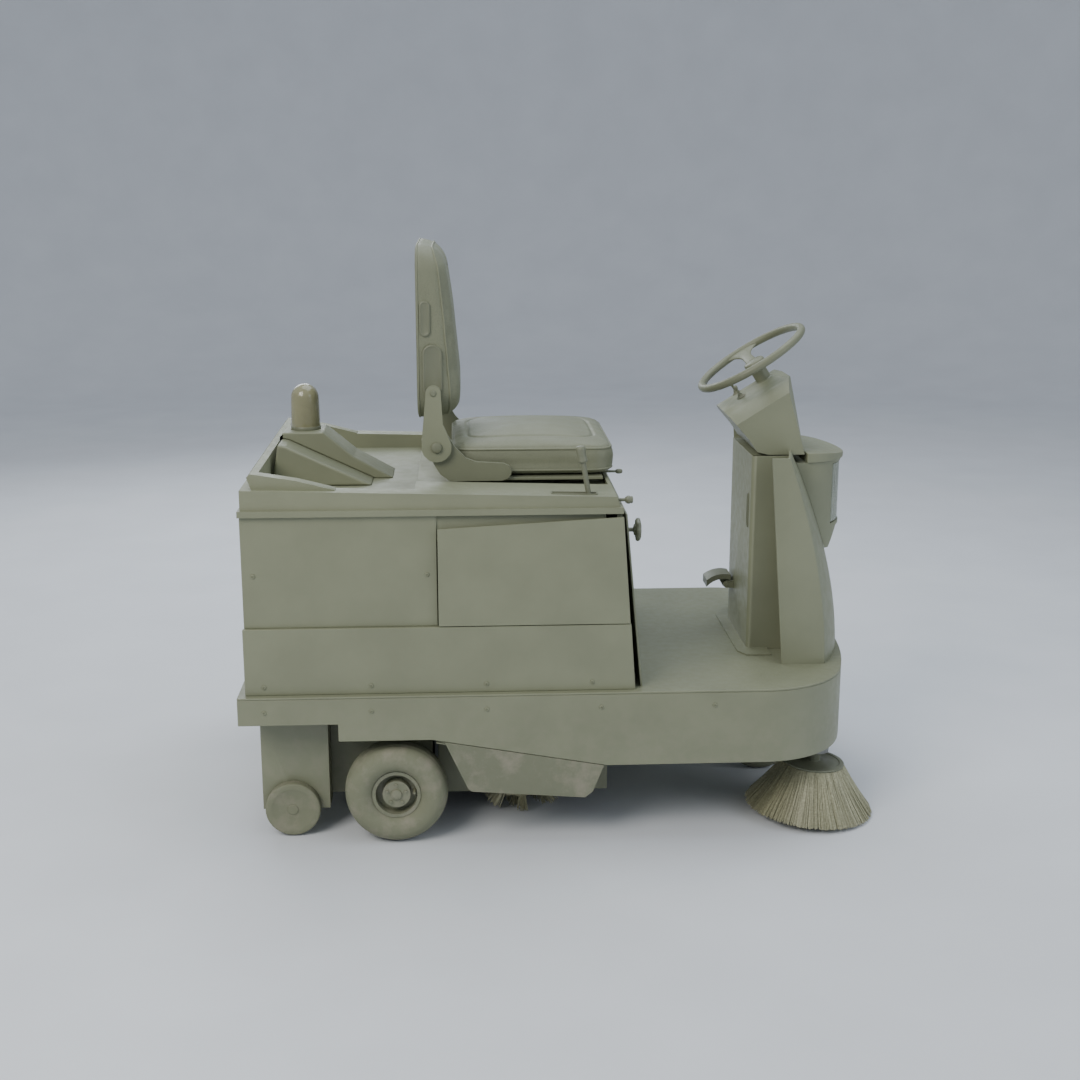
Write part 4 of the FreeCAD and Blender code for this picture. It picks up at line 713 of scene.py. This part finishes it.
def pad_mesh(name, grid):
    """Mesh of a stack of closed rings with both ends closed by a last face."""
    rows, cols = grid.shape[:2]
    faces = [tuple(f) for f in grid_faces(rows, cols, False, True)]
    faces += [tuple(range(cols)), tuple(range((rows - 1) * cols, rows * cols))]
    return mesh_from(name, grid.reshape(-1, 3), faces)


def puffed(name, mesh, body, slot, node, voxel, most, backing):
    """Fill a pad: remesh it evenly, let cloth under pressure swell it, cap each point's travel,
    and keep the result as a plain mesh. The travel grows from nothing at the backing board, given
    as an axis, to its full length 25 mm above it."""
    piece = seat_piece(name, mesh, body, slot, (node,), 70.0)
    bpy.context.view_layer.objects.active = piece
    remesh = piece.modifiers.new("even", "REMESH")
    remesh.mode = "VOXEL"
    remesh.voxel_size = voxel
    apply_all(piece)
    before = coordinates(piece.data)
    cloth = piece.modifiers.new("cloth", "CLOTH")
    cloth.settings.use_pressure = True
    cloth.settings.uniform_pressure_force = 4.0
    cloth.settings.effector_weights.gravity = 0.0
    cloth.settings.tension_stiffness = 40.0
    cloth.settings.compression_stiffness = 40.0
    cloth.settings.bending_stiffness = 2.0
    scene = bpy.context.scene
    cloth.point_cache.frame_start = 1
    cloth.point_cache.frame_end = 20
    for frame_number in range(1, 21):
        scene.frame_set(frame_number)
    apply_all(piece)
    scene.frame_set(1)
    after = coordinates(piece.data)
    move = after - before
    length = np.linalg.norm(move, axis=1, keepdims=True)
    above = before[:, backing] - before[:, backing].min()
    free = np.clip(above / 0.025, 0, 1)[:, None]
    kept = before + free * move * np.minimum(1.0, most / np.maximum(length, 1e-9))
    piece.data.vertices.foreach_set("co", kept.ravel())
    smooth = piece.modifiers.new("soften", "SMOOTH")
    smooth.factor = 0.5
    smooth.iterations = 3
    fine = piece.modifiers.new("fine", "SUBSURF")
    fine.levels = 1
    fine.render_levels = 1
    apply_all(piece)
    piece.data.shade_smooth()
    return piece


def apply_all(piece):
    """Turn a piece and its modifiers into a plain mesh of the same name and finish."""
    view = bpy.context.evaluated_depsgraph_get()
    view.update()
    fresh = bpy.data.meshes.new_from_object(piece.evaluated_get(view))
    old = piece.data
    piece.modifiers.clear()
    piece.data = fresh
    fresh.name = old.name
    bpy.data.meshes.remove(old)


def coordinates(mesh):
    """All points of a mesh as an array."""
    flat = np.empty(len(mesh.vertices) * 3)
    mesh.vertices.foreach_get("co", flat)
    return flat.reshape(-1, 3)


def sew(piece, across, up, outline, centre, plane, side, depth, width):
    """Press a sewn channel into a pad along a closed outline: each point sinks by depth times a
    bell of its distance from the outline, on the side of the pad that the plane faces."""
    points = coordinates(piece.data)
    flat = np.stack([(points - centre) @ across, (points - centre) @ up], -1)
    start = np.asarray(outline)
    step = np.roll(start, -1, 0) - start
    best = np.full(len(points), 1.0)
    for origin, line in zip(start, step):
        share = np.clip(((flat - origin) @ line) / (line @ line), 0, 1)
        best = np.minimum(best, np.linalg.norm(flat - origin - share[:, None] * line, axis=1))
    facing = np.clip(((points - centre) @ plane - side) / 0.012, 0, 1)
    sink = depth * np.exp(-(best / width) ** 2) * facing
    piece.data.vertices.foreach_set("co", (points - sink[:, None] * plane).ravel())
    piece.data.update()


def welt(name, piece, ring, body, reference, radius=0.0030):
    """Piping laid on a pad: each point of the ring is brought to the pad's surface."""
    laid = np.array([piece.closest_point_on_mesh(Vector(point))[1] for point in ring])
    laid = (np.roll(laid, 1, 0) + 2 * laid + np.roll(laid, -1, 0)) / 4
    made(name, bar(laid, radius, reference, 10, True), body, "seat_vinyl", (), 60.0)


def seat_cushion():
    """The seat pad, its welt round the top of the band, and the sewn panel on top."""
    grid = cushion_points()
    piece = puffed("seat_pad", pad_mesh("seat_pad", grid), "seat", "seat_vinyl", "seat_cushion",
                   0.0055, 0.006, 2)
    low, high = extent("seat_cushion")
    centre = (low + high) / 2
    panel = rounded_rectangle(0.150, 0.150, 0.055, 8, 6)
    sew(piece, X, Y, panel, centre + X * 0.003, Z, 0.0, 0.0042, 0.0042)
    welt("seat_welt_top", piece, grid[8], "seat", Z)
    welt("seat_welt_low", piece, grid[4], "seat", Z, 0.0026)


def back_pad():
    """The back pad with piping where its side meets the rolled front edge."""
    grid = backrest_points()
    piece = puffed("back_pad", pad_mesh("back_pad", grid), "seat_back", "seat_vinyl", "backrest",
                   0.0055, 0.005, 0)
    low, high = extent("backrest")
    centre = (low + high) / 2
    sew(piece, Y, Z, rounded_rectangle(0.150, 0.140, 0.050, 8, 6), centre, X, -0.01, 0.0040,
        0.0042)
    welt("back_welt_front", piece, grid[9], "seat_back", X)
    welt("back_welt_rear", piece, grid[4], "seat_back", X, 0.0026)


seat_cushion()
back_pad()


def capsule(a0, a1, b0, b1, count=14):
    """Upright outline with a half round at each end, anticlockwise from its right side."""
    radius = (a1 - a0) / 2
    middle = (a0 + a1) / 2
    top = arc((middle, b1 - radius), radius, 0, 180, count)
    foot = arc((middle, b0 + radius), radius, 180, 360, count)
    return np.concatenate([top, foot])


def back_trims():
    """Moulded covers on the back pad's sides: an oval above, and a long one round the arm."""
    oval = capsule(-0.0125, 0.0125, 1.146, 1.227)
    cover = capsule(-0.0225, 0.0225, 1.010, 1.128)
    parts = []
    side_y, thick = -214.0, 22.0
    for outline, x, sunk in ((oval, 429.5, 2.5), (cover, 445.5, 0.5)):
        origin = place(x, side_y + sunk + thick, 0.0)
        parts.append(carried(outline, [(0, 0), (0, 0.0195), (-0.0006, 0.0212), (-0.0024, 0.022),
                                       (-0.0040, 0.022), (-0.0048, 0.0212), (-0.0056, 0.0208)],
                             origin, X, Z, loop=False))
    right = together(*parts)
    made("back_trims", together(right, mirrored(right)), "seat_back", "grip_plastic")


back_trims()


def pivot_caps():
    """Domed caps over the recline pivots and the arms' upper bolts."""
    pivot = place(453.0, -250.5, 897.0)
    upper = place(447.0, -250.5, 1022.0)
    cap = [(0, 0.0060), (0.006, 0.0058), (0.0112, 0.0040), (0.0128, 0.0010), (0.0128, -0.010),
           (0, -0.010)]
    small = [(0, 0.0034), (0.0055, 0.0030), (0.0075, 0.0008), (0.0075, -0.004), (0, -0.004)]
    right = turned(small, upper, -Y, 32)
    made("arm_bolts", together(right, mirrored(right)), "seat_back", "grip_plastic")
    right = turned(cap, pivot + Y * -0.002, -Y, 40)
    made("pivot_caps", together(right, mirrored(right)), "seat", "grip_plastic")


pivot_caps()


def seat_bellows():
    """Rubber skirt between the seat pan and the slide: folds that swell and pinch by turns."""
    low, high = extent("seat_rails")
    base = high[2] + 0.0008
    top = extent("seat_cushion")[0][2] - 0.0078
    rise = np.linspace(0, 1, 13)
    folds, fold_depth = 2, 0.0035
    half_length, half_width = 0.082, 0.170
    fold = fold_depth * np.abs(np.sin(rise * np.pi * folds))
    outline = rounded_rectangle(half_length, half_width, 0.03, 8, 6)
    section = np.stack([fold, base + rise * (top - base)], -1)
    origin = np.array([(low[0] + high[0]) / 2, 0.0, 0.0])
    made("seat_bellows", carried(outline, section, origin, X, Y, loop=False), "seat",
         "flap_rubber", (), 60.0)


seat_bellows()


# ---- hand controls ------------------------------------------------------------------
def lever_grip():
    """Sleeve over the lever's end: a flared collar, a waisted grip and a rounded crown."""
    foot = place(814.0, -380.0, 690.0)
    line = np.array([-0.041, 0.0, 0.225])
    length = np.linalg.norm(line)
    axis = line / length
    profile = [(0.0065, -0.032), (0.0090, -0.031), (0.0112, -0.028), (0.0112, -0.0255),
               (0.0102, -0.0235), (0.0100, -0.015), (0.0108, -0.006), (0.0112, -0.001),
               (0.0104, 0.0035), (0.0075, 0.0062), (0.0035, 0.0072), (0, 0.0074)]
    made("lever_grip", turned(profile, foot + axis * length, axis, 40), "lever", "grip_plastic")


def lever_gate():
    """Thin frame round the lever's slot in the lid."""
    outline = rounded_rectangle(0.0520, 0.0125, 0.004, 6, 8)
    section = [(0, -0.0005), (0, 0.0012), (-0.0006, 0.0018), (-0.0022, 0.0018),
               (-0.0028, 0.0012), (-0.0028, -0.0005)]
    deck_z, lid_rise = 365.0, 469.0
    lid_start, lid_length, lid_fall = 17.0, 882.0, 23.0
    gate_x, lever_y = 759.5, -380.0
    slope = unit([lid_length, 0.0, -lid_fall])
    lid_z = deck_z + lid_rise - lid_fall * (gate_x - lid_start) / lid_length
    origin = place(gate_x, lever_y, lid_z + 0.1)
    made("lever_gate", carried(outline, section, origin, slope, Y), "chassis", "grip_plastic")


def knobs():
    """Turned knobs: a mushroom handwheel, the pull knob and the slide handle's ball."""
    low, high = extent("handwheel")
    centre = np.array([high[0] - 0.014, (low[1] + high[1]) / 2, (low[2] + high[2]) / 2])
    lobes = lambda turn, row: 0.0012 * np.cos(8 * turn) * np.clip(np.sin(np.pi * row), 0, 1)
    wheel = turned([(0.0048, -0.016), (0.0048, -0.004), (0.0120, -0.002), (0.0135, 0.0010),
                    (0.0240, 0.0022), (0.0262, 0.0050), (0.0264, 0.0085), (0.0245, 0.0115),
                    (0.0180, 0.0136), (0.0090, 0.0130), (0.0070, 0.0140), (0, 0.0140)],
                   centre, X, 96, lobes)
    made("clamp_wheel", wheel, "clamp_knob", "grip_plastic", ("handwheel",))
    low, high = extent("pull_knob")
    centre = np.array([high[0], (low[1] + high[1]) / 2, (low[2] + high[2]) / 2])
    made("choke_knob", turned([(0.0039, low[0] - high[0]), (0.0039, -0.018), (0.0060, -0.0172),
                               (0.0090, -0.0130), (0.0092, -0.0080), (0.0078, -0.0060),
                               (0.0084, -0.0030), (0.0070, -0.0004), (0, 0)], centre, X, 40),
         "choke", "grip_plastic", ("pull_knob",))
    low, high = extent("seat_knob")
    centre = np.array([high[0], (low[1] + high[1]) / 2, (low[2] + high[2]) / 2])
    made("slide_knob", turned([(0.0029, low[0] - high[0]), (0.0029, -0.017), (0.0046, -0.0155),
                               (0.0058, -0.0115), (0.0058, -0.0060), (0.0046, -0.0018),
                               (0.0024, -0.0003), (0, 0)], centre, X, 36),
         "seat_release", "grip_plastic", ("seat_knob",))


def switch_boots():
    """Ridged rubber boots at the feet of the two dash switches."""
    parts = []
    for word in ("work", "lamp"):
        low, high = extent("toggle_" + word)
        middle = (low + high) / 2
        foot = middle - POST * 0.0115
        parts.append(turned([(0.0120, -0.0095), (0.0118, -0.0045), (0.0092, -0.0035),
                             (0.0088, -0.0020), (0.0066, -0.0010), (0.0062, 0.0010),
                             (0.0046, 0.0020), (0.0040, 0.0040), (0.0028, 0.0050),
                             (0, 0.0050)], foot, POST, 36))
    made("switch_boots", together(*parts), "chassis", "flap_rubber")


lever_grip()
lever_gate()
knobs()
switch_boots()


def pedal_pad():
    """Ribbed rubber face on the pedal: nine low ribs that follow the treadle's arc."""
    low, high = extent("pedal")
    crest = place(1180.0, 0.0, 436.0)
    tread_r, sunk = 0.0700, 0.0008
    middle = (low[1] + high[1]) / 2
    half = (high[1] - low[1]) / 2 - 0.004
    parts = []
    for turn in np.radians(np.linspace(93.0, 126.0, 9)):
        out = np.array([math.cos(turn), 0.0, math.sin(turn)])
        spot = crest + out * tread_r
        spot[1] = middle
        along = np.cross(Y, out)
        parts.append(plate(rounded_rectangle(half, 0.0014, 0.0012, 3, 1), 0.0028, 0.0008,
                           spot - out * sunk, Y, along))
    made("pedal_ribs", together(*parts), BODY_OF["pedal"], "flap_rubber")


pedal_pad()


def column_catch():
    """Catch plate on the column's rear face: a slim frame with a finger slot and two screws."""
    x0 = extent("steering_column")[0][0] + 0.026
    origin = np.array([x0, -0.100, 0.7100])
    frame_part = carried(rounded_rectangle(0.0085, 0.0430, 0.004, 6, 8),
                         [(0, -0.001), (0, 0.0016), (-0.0010, 0.0024), (-0.0030, 0.0024),
                          (-0.0042, 0.0014), (-0.0042, 0.0008)], origin, -Y, Z, loop=False)
    parts = [frame_part]
    for z in (-0.036, 0.036):
        parts.append(turned([(0, 0.0030), (0.0014, 0.0029), (0.0024, 0.0020), (0.0026, 0.0),
                             (0, 0)], origin + Z * z, -X, 20))
    made("column_catch", together(*parts), "chassis", "grip_plastic")


column_catch()


def column_lid():
    """Cover plate that closes the column's top behind the steering shaft."""
    top = extent("steering_column")[1][2]
    outline = rounded_rectangle(0.025, 0.1335, 0.003, 3, 3)
    origin = place(1236.0, 0.0, top * 1000.0 - 5.0)
    made("column_lid", plate(outline, 0.003, 0.0006, origin, X, Y), "chassis",
         SLOT_OF["steering_column"])


column_lid()


def fasteners():
    """Round-head screws with a hexagon socket, laid on the sheet metal where panels join."""
    panel_y, skirt_y = 425.0, 445.0
    spots = [("lower_panels", x, panel_y * side, 385.0) for side in (-1, 1)
             for x in (60.0, 300.0, 560.0, 800.0)]
    spots += [("rear_side_panels", x, panel_y * side, 640.0) for side in (-1, 1)
              for x in (45.0, 430.0)]
    spots += [("rear_panel", -5.0, y, z) for y in (-360.0, 360.0) for z in (420.0, 720.0)]
    spots += [("skirts", x, skirt_y * side, 330.0) for side in (-1, 1)
              for x in (60.0, 300.0, 560.0, 820.0, 1080.0)]
    parts = []
    for node, x, y, z in spots:
        mesh = nodes[node].data
        tree = BVHTree.FromPolygons([v.co for v in mesh.vertices],
                                    [p.vertices for p in mesh.polygons])
        spot, out = tree.find_nearest(Vector(place(x, y, z)))[:2]
        parts.append(turned([(0.0036, -0.0006), (0.0052, -0.0006), (0.0052, 0.0010),
                             (0.0044, 0.0023), (0.0024, 0.0029), (0.0021, 0.0014), (0, 0.0014)],
                            np.array(spot), np.array(out), 24))
    made("panel_screws", together(*parts), "chassis", "chassis_paint")


fasteners()


# ---- lights -------------------------------------------------------------------------
def beacon():
    """Beacon: a ribbed dome that narrows a little towards its round crown, on a clamp ring, with
    a fluted inner lens."""
    low, high = extent("beacon_lens")
    centre = np.array([(low[0] + high[0]) / 2, (low[1] + high[1]) / 2, low[2]])
    height = high[2] - low[2]
    crown_r = 0.0335
    wall = [(0.0345, 0.004), (0.0352, 0.006), (0.0350, 0.020), (0.0344, 0.045),
            (crown_r + 0.0002, height - crown_r)]
    dome = arc((0.0, height - crown_r), crown_r, 0, 90, 18)[1:]
    dome[-1, 0] = 0.0
    outer = np.concatenate([wall, dome])
    inner = outer[::-1] * (0.93, 0.975)
    inner[-1] = (0.0325, 0.004)
    ribs = lambda turn, row: 0.00028 * np.cos(40 * turn) * (row > 0.5)
    made("beacon_dome", turned(np.concatenate([outer, inner]), centre, Z, 160, ribs, True),
         "chassis", "beacon_plastic", ("beacon_lens",), 60.0)
    ring = turned([(0.0, 0.0005), (0.0360, 0.0005), (0.0362, 0.0030), (0.0362, 0.0065),
                   (0.0354, 0.0080), (0.0330, 0.0085), (0.0300, 0.0070), (0.0, 0.0070)],
                  centre, Z, 72)
    made("beacon_ring", ring, "chassis", "grip_plastic")
    core = turned([(0.0, 0.008), (0.0220, 0.008), (0.0225, 0.020), (0.0205, 0.060),
                   (0.0150, 0.074), (0.0, 0.078)], centre, Z, 96,
                  lambda turn, row: 0.0010 * np.abs(np.cos(12 * turn)))
    made("beacon_core", core, "chassis", "lamp_clear")


def lamp_glass():
    """Window of the headlamp: the pod's half ellipse, with upright flutes pressed into it, closed
    by its inner face."""
    low, high = extent("headlamp_lens")
    centre_x = place(1338.0, 0, 0)[0]
    pod_length, pod_half = 0.117, 0.140
    turn = np.radians(np.linspace(-46.0, 46.0, 145))
    flute = 0.0006 * np.cos(turn * 66)

    def face(inset):
        """The half ellipse drawn in by an inset, which may differ from point to point."""
        return np.stack([centre_x + (pod_length - inset) * np.cos(turn),
                         (pod_half - inset) * np.sin(turn)], -1)

    front = face(0.0090 - flute)
    back = face(0.0130)
    half_window = 0.099
    keep = np.abs(front[:, 1]) < half_window
    front, back = front[keep], back[keep]
    ring = np.concatenate([front, back[::-1]])
    heights = np.array([low[2] + 0.0012, low[2] + 0.003, high[2] - 0.003, high[2] - 0.0012])
    points = np.concatenate([np.column_stack([ring, np.full(len(ring), z)]) for z in heights])
    faces = [tuple(f) for f in grid_faces(4, len(ring), False, True)]
    count = len(front)
    for start in (0, 3 * len(ring)):
        row = np.arange(count - 1)
        last = 2 * count - 1
        faces += [tuple(f) for f in
                  np.stack([row, row + 1, last - row - 1, last - row], -1) + start]
    made("lamp_glass", (points, faces), "chassis", "lamp_clear", ("headlamp_lens",), 60.0)


def lamp_bowl():
    """Reflector: a shallow dish that opens to the front, with a bulb and its holder."""
    centre = place(1385.0, 0.0, 755.0)
    reach = np.linspace(0.010, 0.062, 14)
    curve, wall = 5.2, 0.002
    dish = np.stack([reach, curve * reach ** 2], -1)
    rim = [(0.064, 0.0205), (0.064, 0.018)]
    back = np.stack([reach[::-1], curve * reach[::-1] ** 2 - wall], -1)
    made("lamp_dish", turned(np.concatenate([dish, rim, back]), centre, X, 72, None, True),
         "chassis", "bright_steel")
    made("lamp_bulb", turned([(0, 0.026), (0.0035, 0.0255), (0.0062, 0.022), (0.0070, 0.017),
                              (0.0055, 0.010), (0.0050, 0.004), (0.0105, 0.003),
                              (0.0105, -0.004), (0, -0.004)], centre, X, 32), "chassis",
         "lamp_clear")


beacon()
lamp_glass()
lamp_bowl()


# ---- brushes ------------------------------------------------------------------------
def strands(root, tip, bow, thick, sides=3, rings=4):
    """Many tapered filaments at once: each runs from its root to its tip along a curve that bows
    by the given vector at half way, as a narrow prism of a few faces."""
    count = len(root)
    run = np.linspace(0.0, 1.0, rings)
    line = tip - root
    path = (root[:, None] + run[None, :, None] * line[:, None]
            + (4 * run * (1 - run))[None, :, None] * bow[:, None])
    heading = line / np.linalg.norm(line, axis=1, keepdims=True)
    side = np.cross(heading, Z + 0.31 * X)
    side = side / np.linalg.norm(side, axis=1, keepdims=True)
    top = np.cross(heading, side)
    ring = rings_across(side, top, sides)
    width = thick[:, None] * (1.0 - 0.35 * run)[None]
    points = path[:, :, None] + width[:, :, None, None] * ring[:, None]
    one = grid_faces(rings, sides, False, True)
    faces = (one[None] + (np.arange(count) * rings * sides)[:, None, None]).reshape(-1, 4)
    ends = np.arange(sides)[::-1] + (rings - 1) * sides
    caps = ends[None] + (np.arange(count) * rings * sides)[:, None]
    return points.reshape(-1, 3), [tuple(f) for f in faces] + [tuple(f) for f in caps]


def side_brush():
    """Cone of filaments set in rings of holes in the disc, over a denser inner cone."""
    lean = math.radians(4.0)
    axis = np.array([math.sin(lean), 0.0, math.cos(lean)])
    foot = place(1342.0, -280.0, 155.0 * math.sin(lean) + 1.5)
    first = unit(np.cross(axis, X))
    second = np.cross(axis, first)
    count = 2300
    turn = rng.uniform(0, 2 * np.pi, count)
    level = rng.uniform(0, 1, count) ** 0.6
    start = 0.056 + 0.0185 * level
    end = 0.134 + 0.0195 * level + rng.normal(0, 0.0008, count)
    short = np.abs(rng.normal(0, 0.0016, count))
    swirl = turn + rng.normal(0, 0.022, count) + 0.03

    def ring(angle, radius, height):
        """Points at those angles, radii and heights about the brush's leaning axis."""
        return (foot + radius[:, None] * (np.cos(angle)[:, None] * first
                                          + np.sin(angle)[:, None] * second)
                + height[:, None] * axis)

    root = ring(turn, start, np.full(count, 0.1110))
    tip = ring(swirl, np.minimum(end, 0.1545), 0.0008 + short)
    out = ring(turn, np.ones(count), np.zeros(count)) - foot
    bow = -out * 0.0022 + axis * -0.0010
    thick = np.full(count, 0.00115)
    made("side_bristles", strands(root, tip, bow, thick, 3, 4), "side_brush", "bristle",
         ("brush_bristles",), 80.0)
    inner = turned([(0.0535, 0.1105), (0.0715, 0.1090), (0.0800, 0.094), (0.1080, 0.055),
                    (0.1445, 0.0055), (0.1320, 0.0045), (0.0535, 0.0975)], foot, axis, 120,
                   lambda angle, row: 0.0007 * np.cos(58 * angle), True)
    made("side_brush_core", inner, "side_brush", "bristle", (), 50.0)
    disc = turned([(0.0082, 0.098), (0.0530, 0.098), (0.0530, 0.1120), (0.0735, 0.1122),
                   (0.0745, 0.1134), (0.0745, 0.1152), (0.0730, 0.1168), (0.0640, 0.1170),
                   (0.0620, 0.1155), (0.0300, 0.1155), (0.0270, 0.1172), (0.0180, 0.1180),
                   (0.0160, 0.1200), (0.0160, 0.1405), (0.0148, 0.1418), (0.0082, 0.1418)],
                  foot, axis, 96, None, True)
    made("side_brush_disc", disc, "side_brush", SLOT_OF["brush_disc"], ("brush_disc",), 35.0)


def main_broom():
    """Cylindrical broom: tufts along slow double helices over a tight sleeve."""
    low, high = extent("broom_bristles")
    centre = (low + high) / 2
    outer = (high[2] - low[2]) / 2
    half = (high[1] - low[1]) / 2 - 0.004
    rows = 12
    core_r, sleeve_r = 0.061, 0.107
    along = np.linspace(-half, half, 60)
    helix = 1.1 * np.abs(along / half)
    spot = np.repeat(along[None], rows, 0).ravel()
    turn = (helix[None] + (2 * np.pi / rows) * np.arange(rows)[:, None]).ravel()
    many = 8
    spot = np.repeat(spot, many) + rng.normal(0, 0.0030, len(spot) * many)
    turn = np.repeat(turn, many)
    wide = turn + rng.normal(0, 0.055, len(turn))
    spot = np.clip(spot, -half, half)
    length = outer - 0.0010 - np.abs(rng.normal(0, 0.0012, len(turn)))

    def at(angle, radius, position):
        """Points at those angles and radii, at positions along the broom's axis."""
        return (centre + position[:, None] * Y
                + radius[:, None] * (np.cos(angle)[:, None] * X + np.sin(angle)[:, None] * Z))

    root = at(turn, np.full(len(turn), core_r), spot)
    tip = at(wide, length, spot)
    bow = np.zeros_like(root)
    made("broom_tufts", strands(root, tip, bow, np.full(len(turn), 0.0017), 3, 3), "main_broom",
         "bristle", ("broom_bristles",), 80.0)
    sleeve = turned([(0.0602, -half), (0.104, -half), (sleeve_r, -half + 0.004),
                     (sleeve_r, half - 0.004), (0.104, half), (0.0602, half)], centre, Y, 144,
                    lambda angle, row: 0.0025 * np.cos(18 * angle), True)
    made("broom_sleeve", sleeve, "main_broom", "bristle", (), 60.0)


side_brush()
main_broom()


# ---- stage --------------------------------------------------------------------------
def add_floor():
    """Plain pale floor: flat to 7 m, then swept up along a quarter circle into a low wall."""
    flat, bend, wall_top = 7.0, 3.0, 6.0
    sweep = arc((flat, bend), bend, -90, 0, 20)
    profile = np.concatenate([[(0.0, 0.0), (flat / 2, 0.0)], sweep, [(flat + bend, wall_top)]])
    points, faces = turned(profile, np.zeros(3), Z, 96)
    floor = bpy.data.objects.new("floor", mesh_from("floor", points, faces))
    floor.data.shade_smooth()
    bpy.context.scene.collection.objects.link(floor)
    f = Finish("floor_paint", 0.85)
    tone = f.band(f.noise(3.0, 4.0), 0.3, 0.7)
    f.colour(f.mix(tone, rgb(0.66, 0.68, 0.71), rgb(0.70, 0.72, 0.75)))
    floor.data.materials.append(f.material)


def add_light(name, place, target, size, power, colour=(1.0, 1.0, 1.0)):
    """A large soft panel aimed at a point."""
    data = bpy.data.lights.new(name, "AREA")
    data.shape = "RECTANGLE"
    data.size = size[0]
    data.size_y = size[1]
    data.energy = power
    data.color = colour
    light = bpy.data.objects.new(name, data)
    light.location = place
    light.rotation_euler = (Vector(target) - Vector(place)).to_track_quat("-Z", "Y").to_euler()
    bpy.context.scene.collection.objects.link(light)


def add_world():
    """Even pale surroundings that fill the shadows."""
    world = bpy.data.worlds.new("studio")
    world.use_nodes = True
    background = world.node_tree.nodes["Background"]
    background.inputs["Color"].default_value = (0.80, 0.86, 0.95, 1.0)
    background.inputs["Strength"].default_value = 0.55
    bpy.context.scene.world = world


add_floor()
add_light("key", (-2.6, -3.2, 3.6), (0, 0, 0.5), (2.4, 2.4), 150.0, (1.0, 0.97, 0.90))
add_light("top", (0.4, 0.8, 4.2), (0, 0, 0.4), (3.5, 3.5), 95.0, (0.86, 0.93, 1.0))
add_light("fill", (3.6, -2.4, 2.0), (0, 0, 0.6), (2.5, 2.5), 45.0, (0.9, 0.95, 1.0))
add_light("back", (-1.5, 3.6, 2.6), (0, 0, 0.6), (2.5, 2.0), 55.0, (0.9, 0.95, 1.0))
add_world()
